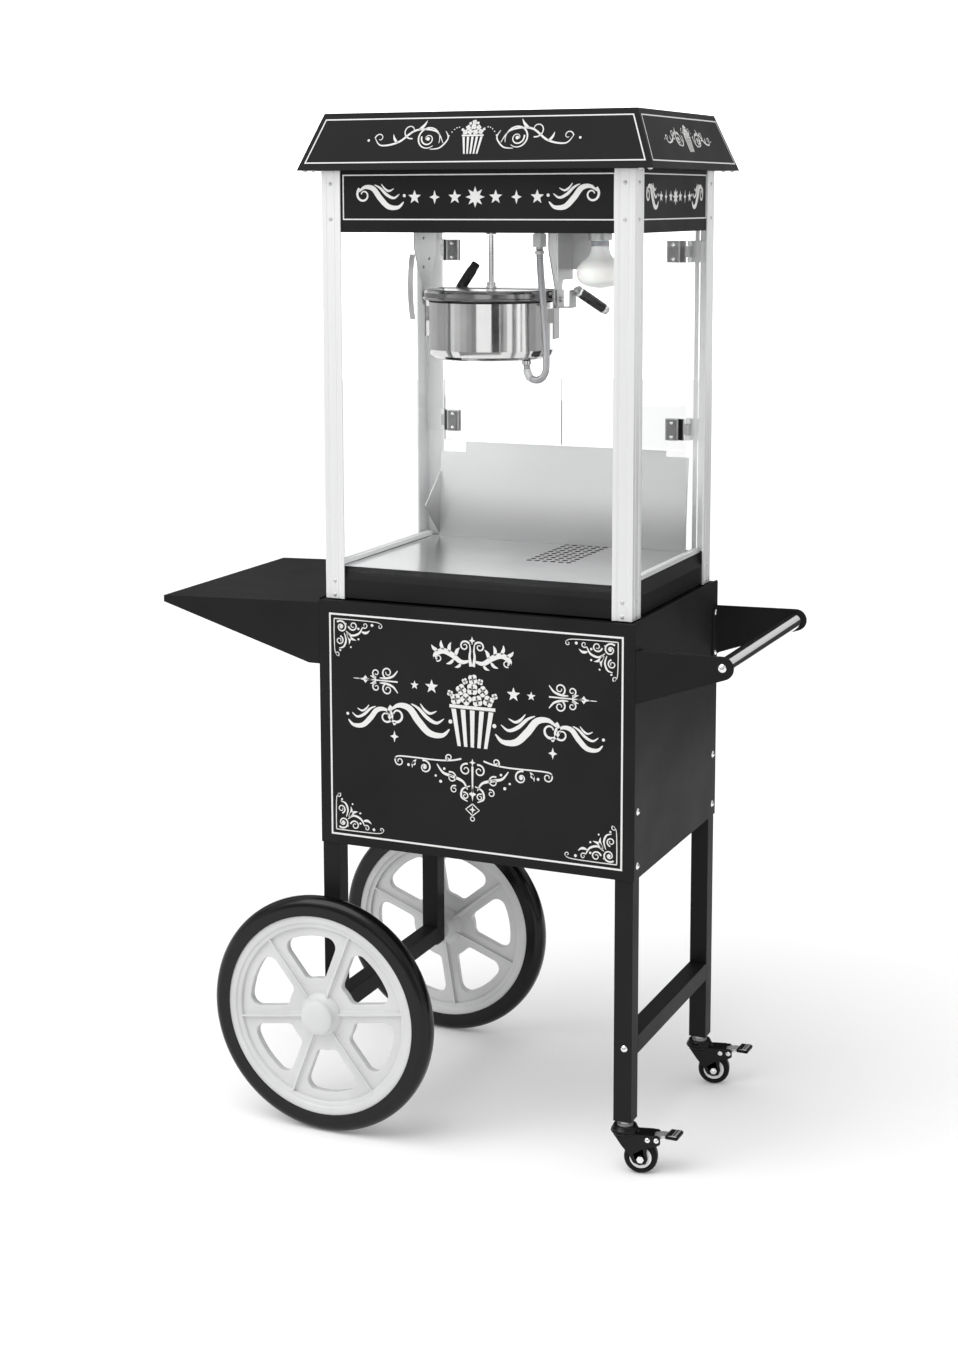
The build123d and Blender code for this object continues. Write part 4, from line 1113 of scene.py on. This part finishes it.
def wheel_web(end):
    """The flat disc with its six openings, every edge rounded."""
    curve = bpy.data.curves.new(f"wheel_web_{end}", "CURVE")
    curve.dimensions = "2D"
    curve.fill_mode = "BOTH"
    curve.extrude = 4.6 * MM
    curve.bevel_depth = 1.4 * MM
    curve.offset = -1.4 * MM
    curve.bevel_resolution = 2
    outlines = [arc((0, 0), 141, 0, 356.25, 95)] + [spoke_window(60 * k) for k in range(6)]
    for outline in outlines:
        spline = curve.splines.new("POLY")
        spline.points.add(len(outline) - 1)
        for control, (x, y) in zip(spline.points, outline):
            control.co = (x * MM, y * MM, 0, 1)
        spline.use_cyclic_u = True
    mesh = curve_mesh(curve)
    place = wheel_place(end)
    place.translation = cart(*place.translation)
    mesh.transform(place)
    name, body = f"wheel_web_{end}", f"{end}_wheel"
    web = add_piece(name, mesh, WHEEL_PLASTIC, body, sharp_deg=40)
    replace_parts(web, f"wheel_{end}")


def wheels():
    """Each big wheel: web, stepped rim, six thin ribs and the hub with its domed cap."""
    for end in ("front", "rear"):
        wheel_web(end)
        place = wheel_place(end)
        rim = Shape()
        step = [(139, 10.4), (141, 11), (145.2, 11), (146, 11.6), (146.6, 13), (147.4, 13.4), (157.6, 13.4)]
        rim.ring([(138.2, -7), (138.2, 9), *step, *[(r, -h) for r, h in reversed(step)]], place, 144)
        rim.lathe([
            (6.1, -28), (19, -28), (20.4, -27.2), (24, -12.4), (26, -10.6), (33, -8.6), (34.4, -6), (34.4, 6),
            (33, 8.8), (30.6, 11.6), (28.2, 15), (27.2, 17), (26.5, 22), (26, 23.6), (24.6, 24.7), (17, 27.2),
            (8, 28.5), (0, 28.9),
        ], place, 96)
        rim.piece(f"wheel_rim_{end}", WHEEL_PLASTIC, f"{end}_wheel", "light_grey_plastic", sharp_deg=50)
        ribs = Shape()
        for k in range(6):
            turned = place @ Matrix.Rotation(math.radians(60 * k), 4, "Z")
            for side in (-1, 1):
                ribs.box((24, 141.6), (-1.4, 1.4), sorted((side * 5.5, side * 11.2)), turned)
                flank = [(-5.5, 5.9), (-1.4, 8.2), (1.4, 8.2), (5.5, 5.9), (5.5, 5.0), (-5.5, 5.0)]
                near = [Vector((32, v, side * h)) for v, h in flank]
                far = [Vector((137, v * 0.8, side * (5.0 + (h - 5.0) * 0.55))) for v, h in flank]
                rows = [[ribs.mesh.verts.new(turned @ point) for point in row] for row in (near, far)]
                loft(ribs.mesh, rows)
        ribs.piece(f"wheel_ribs_{end}", WHEEL_PLASTIC, f"{end}_wheel", "light_grey_plastic", 0.4)


def posts_trim():
    """The stepped lip along both inner edges of each corner post."""
    (left, right), (front, back), (low, high) = span("corner_posts")
    lips = Shape()
    for side, x in ((-1, left), (1, right)):
        for end, y in ((-1, front), (1, back)):
            inner = x - side * 31
            lips.box(sorted((inner, inner + side * 6.5)), sorted((y, y + end * 0.5)), (low, high))
            inner = y - end * 35
            lips.box(sorted((x, x + side * 0.5)), sorted((inner, inner + end * 6.5)), (low, high))
    lips.piece("post_lips", ALUMINIUM, "root", "aluminium_extrusion", 0.2)


def floor_holes():
    """Painted shade: flat dark discs over the crumb holes in the popping floor, standing for the shade inside
    them.
    """
    high = span("popping_floor")[2][1]
    shade_discs = Shape()
    for column in range(6):
        for row in range(10):
            place = Matrix.Translation((17 + 13 * column, -14 + 17.5 * row, high))
            shade_discs.lathe([(0, -0.3), (4.8, -0.3), (4.8, 0.07), (0, 0.07)], place, 24)
    shade_discs.piece("floor_hole_painted_shade", PAINTED_SHADE, "root", "stainless_sheet")


def popcorn_guard():
    """The back sheet as one smooth roll, with its notched top and bent wings."""
    (_, _), (_, back), (low, high) = span("popcorn_guard")
    front = back - 15.2
    lean = 12.8
    notches = ((-212, -168, 1016), (-168, 174, high), (174, 212, 1024))
    heights = sorted([low + (high - low) * i / 24 for i in range(25)] + [1016, 1024])
    sheet = Shape()
    for left, right, top in notches:
        for below, above in zip(heights, heights[1:]):
            if above > top + 0.01:
                continue
            corners = []
            for x, z in ((left, below), (right, below), (right, above), (left, above)):
                y = front + lean * ((z - low) / (high - low)) ** 1.6
                corners.append(sheet.mesh.verts.new((x, y, z)))
            sheet.mesh.faces.new(corners)
    for side in (-1, 1):
        wing = ((211.5, front + 0.3, low + 2), (211.5, front + 4, 985), (222, front - 34, 930))
        sheet.mesh.faces.new([sheet.mesh.verts.new((side * x, y, z)) for x, y, z in wing])
    bmesh.ops.remove_doubles(sheet.mesh, verts=sheet.mesh.verts, dist=1e-4)
    bmesh.ops.recalc_face_normals(sheet.mesh, faces=sheet.mesh.faces)
    bmesh.ops.solidify(sheet.mesh, geom=sheet.mesh.faces[:], thickness=1.2)
    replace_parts(sheet.piece("popcorn_guard_rolled", GUARD_STEEL, "root", "stainless_sheet"), "popcorn_guard")


def hanger_screws():
    screws = Shape()
    for y, z in ((-12, 1322), (8, 1334), (-12, 1366), (8, 1378)):
        for x, side in ((-162, -1), (60.6, 1), (-160, 1), (58.6, -1)):
            screws.dome(aim((x, y, z), (side, 0, 0)), 2.6, 1.4)
    screws.piece("hanger_screws", DARK_ZINC, "root", "zinc_steel")


def pot_lines():
    """Dark rings of painted shadow under the rim and the lid's skirt, the rim's bead in the darkened lid
    steel, and the foot's roll.
    """
    place = Matrix.Translation((KETTLE_X, KETTLE_Y, 0))
    shadow_rings = Shape()
    shadow_rings.ring([(94.9, 1270.6), (95.4, 1270.6), (96.6, 1274.6), (94.9, 1274.6)], place, 96)
    shadow_rings.ring([(102.0, 1277.9), (102.9, 1277.9), (102.9, 1278.6), (102.0, 1278.6)], place, 96)
    shadow_rings.piece("pot_rim_painted_shadow", PAINTED_SHADE, "kettle", "polished_stainless")
    roll = Shape()
    outside = [(103.6, 1274.3), (104.6, 1275.4), (104.7, 1276.6), (103.6, 1278.2)]
    roll.ring([(102.2, 1274.4), *outside, (102.2, 1278.2)], place, 96)
    roll.piece("pot_rim_roll", SHADED_LID, "kettle", "polished_stainless")
    foot = Shape()
    foot.ring([(92.6, 1190.4), (93.4, 1190.2), (95.4, 1197.6), (95.5, 1199.4), (94.9, 1199.4)], place, 96)
    foot.piece("pot_foot_roll", POT, "kettle", "polished_stainless")


def lamp():
    """Reflector bulb with a frosted face and its screw cap."""
    (left, right), (front, back), (bottom, top) = span("lamp_bulb")
    place = Matrix.Translation(((left + right) / 2, (front + back) / 2, 0))
    neck = ((13, 8), (14, 16), (18, 24), (27, 32), (33.4, 40), (34.8, 47))
    neck = flow(*[(radius, top - drop) for radius, drop in neck], steps=8)
    face = flow((34.8, top - 47), (32, top - 57), (24, top - 64), (12, bottom + 1), (0, bottom), steps=8)
    profile = [(0, top), (12.4, top), *neck, *face[1:-1], (0, bottom)]
    bulb = Shape().lathe(profile, place, 64)
    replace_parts(bulb.piece("lamp_bulb_glass", FROSTED, "root", "frosted_glass", sharp_deg=60), "lamp_bulb")
    cap = Shape()
    for k in range(4):
        height = top - 8 + 1.9 * k
        thread = [(12, -1), (13.4, -0.5), (13.8, 0), (13.4, 0.5), (12, 1)]
        cap.ring([(radius, height + rise) for radius, rise in thread], place, 40)
    cap.piece("lamp_bulb_cap", ZINC, "root", "zinc_steel")


def caster_frame(end):
    """The caster's own axes: the swivel axis on Z and the wheel trailing towards X."""
    y = {"front": -1, "rear": 1}[end] * CASTER_Y
    return Matrix.Translation((CASTER_X, y, 0)) @ Matrix.Rotation(math.radians(14), 4, "Z")


def casters():
    for end in ("front", "rear"):
        place = caster_frame(end)
        body = f"{end}_caster"
        fork = f"caster_fork_{end}"
        soften(fork, f"{fork}_finished", GLOSS_BLACK, 0.5, whole_faces=False)
        caps = Shape()
        for side in (-1, 1):
            for x in (34, 47):
                caps.dome(place @ aim((x, side * 13.6, 54), (0, side, 0)), 3.9, 2.0)
            nut = place @ aim((24, side * 16.2, 25), (0, side, 0))
            caps.lathe([(0, 0), (5.6, 0), (5.6, 1.2), (3.2, 1.6), (3.2, 3.0), (2.6, 3.4), (0, 3.4)], nut, 6)
        caps.piece(f"caster_rivets_{end}", CHROME, body, "caster_black")
        rings = Shape()
        rings.ring([(14.5, 70.6), (15.2, 71.9), (17.2, 71.9), (18.2, 70.4), (17, 69.8)], place)
        rings.ring([(18.6, 61.6), (20.6, 61.4), (21.4, 63), (20.6, 64.8), (18.8, 65)], place)
        rings.piece(f"caster_raceway_{end}", GLOSS_BLACK, body, "caster_black")
        core = Shape()
        hub = place @ aim((24, 0, 25), (0, 1, 0))
        for side in (-1, 1):
            turned = hub @ Matrix.Rotation(0 if side > 0 else math.pi, 4, "X")
            face = [(8, 9.2), (12, 9.0), (14.5, 9.4), (15.4, 9.5)]
            core.ring([(6.1, 7.4), (6.1, 9.0), *face, (16.2, 9.1), (16.2, 7.4)], turned)
        core.piece(f"caster_core_{end}", CORE, f"{end}_caster_roller", "caster_tread")
        soften(f"caster_brake_{end}", f"caster_lever_{end}", ZINC, 0.4)
        pad = Shape()
        skew = Matrix(((1, 0.28, 0, 0), (0, 1, 0, 0), (0, 0, 1, 0), (0, 0, 0, 1)))
        tilt = Matrix.Rotation(math.radians(7), 4, "Y")
        pad_place = place @ Matrix.Translation((72, 0, 60.4)) @ skew @ tilt
        pad.box((-8.6, 10), (-13.2, 13.2), (-3.4, 2.4), pad_place)
        pad.piece(f"caster_pad_{end}", TREAD, f"{end}_caster_lever", "brake_lever", 1.8, segments=3)
        ribs = Shape()
        for k in range(4):
            ribs.box((-6.0 + 4.0 * k, -4.2 + 4.0 * k), (-10.6, 10.6), (2.0, 3.2), pad_place)
        ribs.piece(f"caster_pad_ribs_{end}", TREAD, f"{end}_caster_lever", "brake_lever", 0.4)


def door_brackets():
    """Brackets on the back posts, trimmed to let the open doors' clips pass."""
    brackets = Shape()
    for side in (-1, 1):
        for z in CLIP_HEIGHTS:
            plate = sorted((side * 210, side * 240))
            brackets.box(plate, (HEAD_BACK - 2, HEAD_BACK - 0.2), (z - 17, z + 17))
            pin = Matrix.Translation((side * DOOR_PIVOT_X, DOOR_PIVOT_Y, z))
            brackets.lathe([(0, -17), (1.8, -17), (1.8, 17), (0, 17)], pin, 24)
            for low in (-17, 9):
                brackets.lathe([(0, low), (4, low), (4, low + 8), (0, low + 8)], pin, 32)
                lug = sorted((side * 208.2, side * 212))
                brackets.box(lug, (DOOR_PIVOT_Y, HEAD_BACK - 1), (z + low, z + low + 8))
    trimmed = brackets.piece("door_brackets_trimmed", ALUMINIUM, "root", "zinc_steel", 0.4)
    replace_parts(trimmed, "door_brackets")


def door_clips():
    """Grey pads with two screws each on the door clips."""
    for side, word in ((-1, "left"), (1, "right")):
        body = f"{word}_door"
        soften(f"door_fittings_{word}", f"door_clips_{word}", ZINC, 0.4)
        pads = Shape()
        screws = Shape()
        for z in CLIP_HEIGHTS:
            pads.box(sorted((side * 178.5, side * 194.5)), (149.6, 151.6), (z - 15.5, z + 15.5))
            for dz in (-11, 11):
                for y, facing in ((149.6, -1), (161.0, 1)):
                    screws.dome(aim((side * 186.5, y, z + dz), (0, facing, 0)), 3.0, 1.6)
        pads.piece(f"door_clip_pads_{word}", CLIP_PAD, body, "zinc_steel", 0.6)
        screws.piece(f"door_clip_screws_{word}", CHROME, body, "zinc_steel")


def sockets():
    """Cable box, coupling and mains inlet with its pins."""
    parts = loose_parts("header_sockets")

    def tallness(mesh):
        heights = [vert.co.z for vert in mesh.vertices]
        return max(heights) - min(heights)

    coupling = max(parts, key=tallness)
    others = [mesh for mesh in parts if mesh is not coupling]
    piece = add_piece("cable_coupling", coupling, ZINC, "root", 0.5)
    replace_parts(piece, "header_sockets")
    for i, mesh in enumerate(others):
        add_piece(f"header_socket_{i + 1}", mesh, BLACK_PLASTIC, "root", 0.5)
    (x0, x1), (y0, y1), (z0, z1) = (-181, -159), (HEAD_BACK - 18, HEAD_BACK), (1414, 1430)
    pins = Shape()
    for x, z in (((x0 + x1) / 2, z1 - 5), (x0 + 6, z0 + 5), (x1 - 6, z0 + 5)):
        pins.box((x - 1, x + 1), (y0 - 1, y1 - 5), (z - 2, z + 2))
    pins.piece("mains_pins", CHROME, "root", "black_plastic", 0.3)


# Stage


def stage():
    floor_mesh = bpy.data.meshes.new("floor")
    reach = 30
    corners = [(-reach, -reach, 0), (reach, -reach, 0), (reach, reach, 0), (-reach, reach, 0)]
    floor_mesh.from_pydata(corners, [], [(0, 1, 2, 3)])
    floor = linked("floor", floor_mesh)
    floor.location.z = -0.0005
    pale = Surface("floor_pale", (0.9, 0.9, 0.9), 0.7, Specular_IOR_Level=0.1).glow(1, 0.1)
    floor_mesh.materials.append(pale.vary_colour(pale.noise(900, detail=2.0), 0.01).material)
    backdrop_card()
    world = bpy.data.worlds.new("studio")
    world.use_nodes = True
    backdrop = world.node_tree.nodes["Background"]
    backdrop.inputs["Color"].default_value = (1, 1, 1, 1)
    backdrop.inputs["Strength"].default_value = 0.72
    bpy.context.scene.world = world
    sun = bpy.data.lights.new("sun", "SUN")
    sun.energy = 1.5
    sun.angle = math.radians(50)
    sun_object = linked("sun", sun)
    sun_object.rotation_euler = Vector((0.35, 0.55, -1.3)).to_track_quat("-Z", "Y").to_euler()
    soft_box("key", (-2.2, -2.6, 2.6), (0, 0, 0.8), 1.6, 16)
    for i, (level, first, last) in enumerate((
        (0.55, -160, -95), (0.45, -95, -69), (0.02, -69, -61), (0.9, -61, -48), (0.7, -48, -36),
        (0.55, -36, -24), (0.42, -24, -14), (0.3, -14, -5),
        (1.25, -4, 19), (0.06, 22, 37), (0.26, 38, 44), (0.55, 44, 51), (1.2, 52, 72), (0.35, 77, 80),
        (1.2, 81, 85), (0.38, 88, 112), (0.5, 112, 138), (0.64, 138, 162),
    )):
        card(f"kettle_card_{i}", level, first, last, 0.88, 1.3)
    card("side_card", 0.05, 105, 175, 0.0, 0.88)
    card("front_card", 0.35, -40, 40, 0.0, 0.88)
    card("behind_card", 0.02, 172, 250, 0.75, 1.9).visible_transmission = False
    view = bpy.context.scene.view_settings
    view.view_transform = "Standard"
    view.look = "None"


def wall(name, material, radius, first_deg, last_deg, low, high, steps):
    """A curved wall round the cart that casts no shadow and lights no dull surface."""
    verts = []
    for i in range(steps + 1):
        angle = math.radians(first_deg + (last_deg - first_deg) * i / steps)
        verts += [(CART_X + radius * math.sin(angle), -radius * math.cos(angle), z) for z in (low, high)]
    mesh = bpy.data.meshes.new(name)
    mesh.from_pydata(verts, [], [(2 * i, 2 * i + 2, 2 * i + 3, 2 * i + 1) for i in range(steps)])
    mesh.materials.append(material)
    made = linked(name, mesh)
    made.visible_diffuse = False
    made.visible_shadow = False
    return made


def backdrop_card():
    """White paper behind the cart, dimmer where a mirror finish shows it through the glass."""
    made = Surface("backdrop_white", (0.9, 0.9, 0.9), 0.9).glow(1, 1.1)
    dim = made.node("ShaderNodeMapRange", From_Min=0.0, From_Max=1.0, To_Min=1.1, To_Max=0.5)
    made.link(made.light_path()["Glossy Depth"], dim.inputs["Value"])
    made.link(dim.outputs["Result"], made.shader.inputs["Emission Strength"])
    made.vary_colour(made.noise(900), 0.01)
    wall("backdrop", made.material, 14, 0, 360, -1, 14, 32).visible_glossy = False


def soft_box(name, place, target, size, power):
    light = bpy.data.lights.new(name, "AREA")
    light.shape = "SQUARE"
    light.size = size
    light.energy = power
    lamp_object = linked(name, light)
    lamp_object.location = place
    lamp_object.rotation_euler = (Vector(target) - Vector(place)).to_track_quat("-Z", "Y").to_euler()


def card(name, level, first_deg, last_deg, low, high):
    """A curved card of one brightness, seen only in polished surfaces."""
    made = Surface(name, (0, 0, 0), 0.9, Specular_IOR_Level=0.0).glow(level, 1.0)
    clear = made.tree.nodes.new("ShaderNodeBsdfTransparent")
    made.choose(made.light_path()["Glossy Depth"], clear, made.shader)
    panel = wall(name, made.material, 2.6, first_deg, last_deg, low, high, 8)
    panel.visible_camera = False
    return panel


make_camera()
kettle_cable()
finish_nodes()
softened_nodes()
wheels()
posts_trim()
floor_holes()
popcorn_guard()
kettle_lids()
hanger_screws()
pot_lines()
lamp()
casters()
door_brackets()
door_clips()
sockets()
prints()
stage()
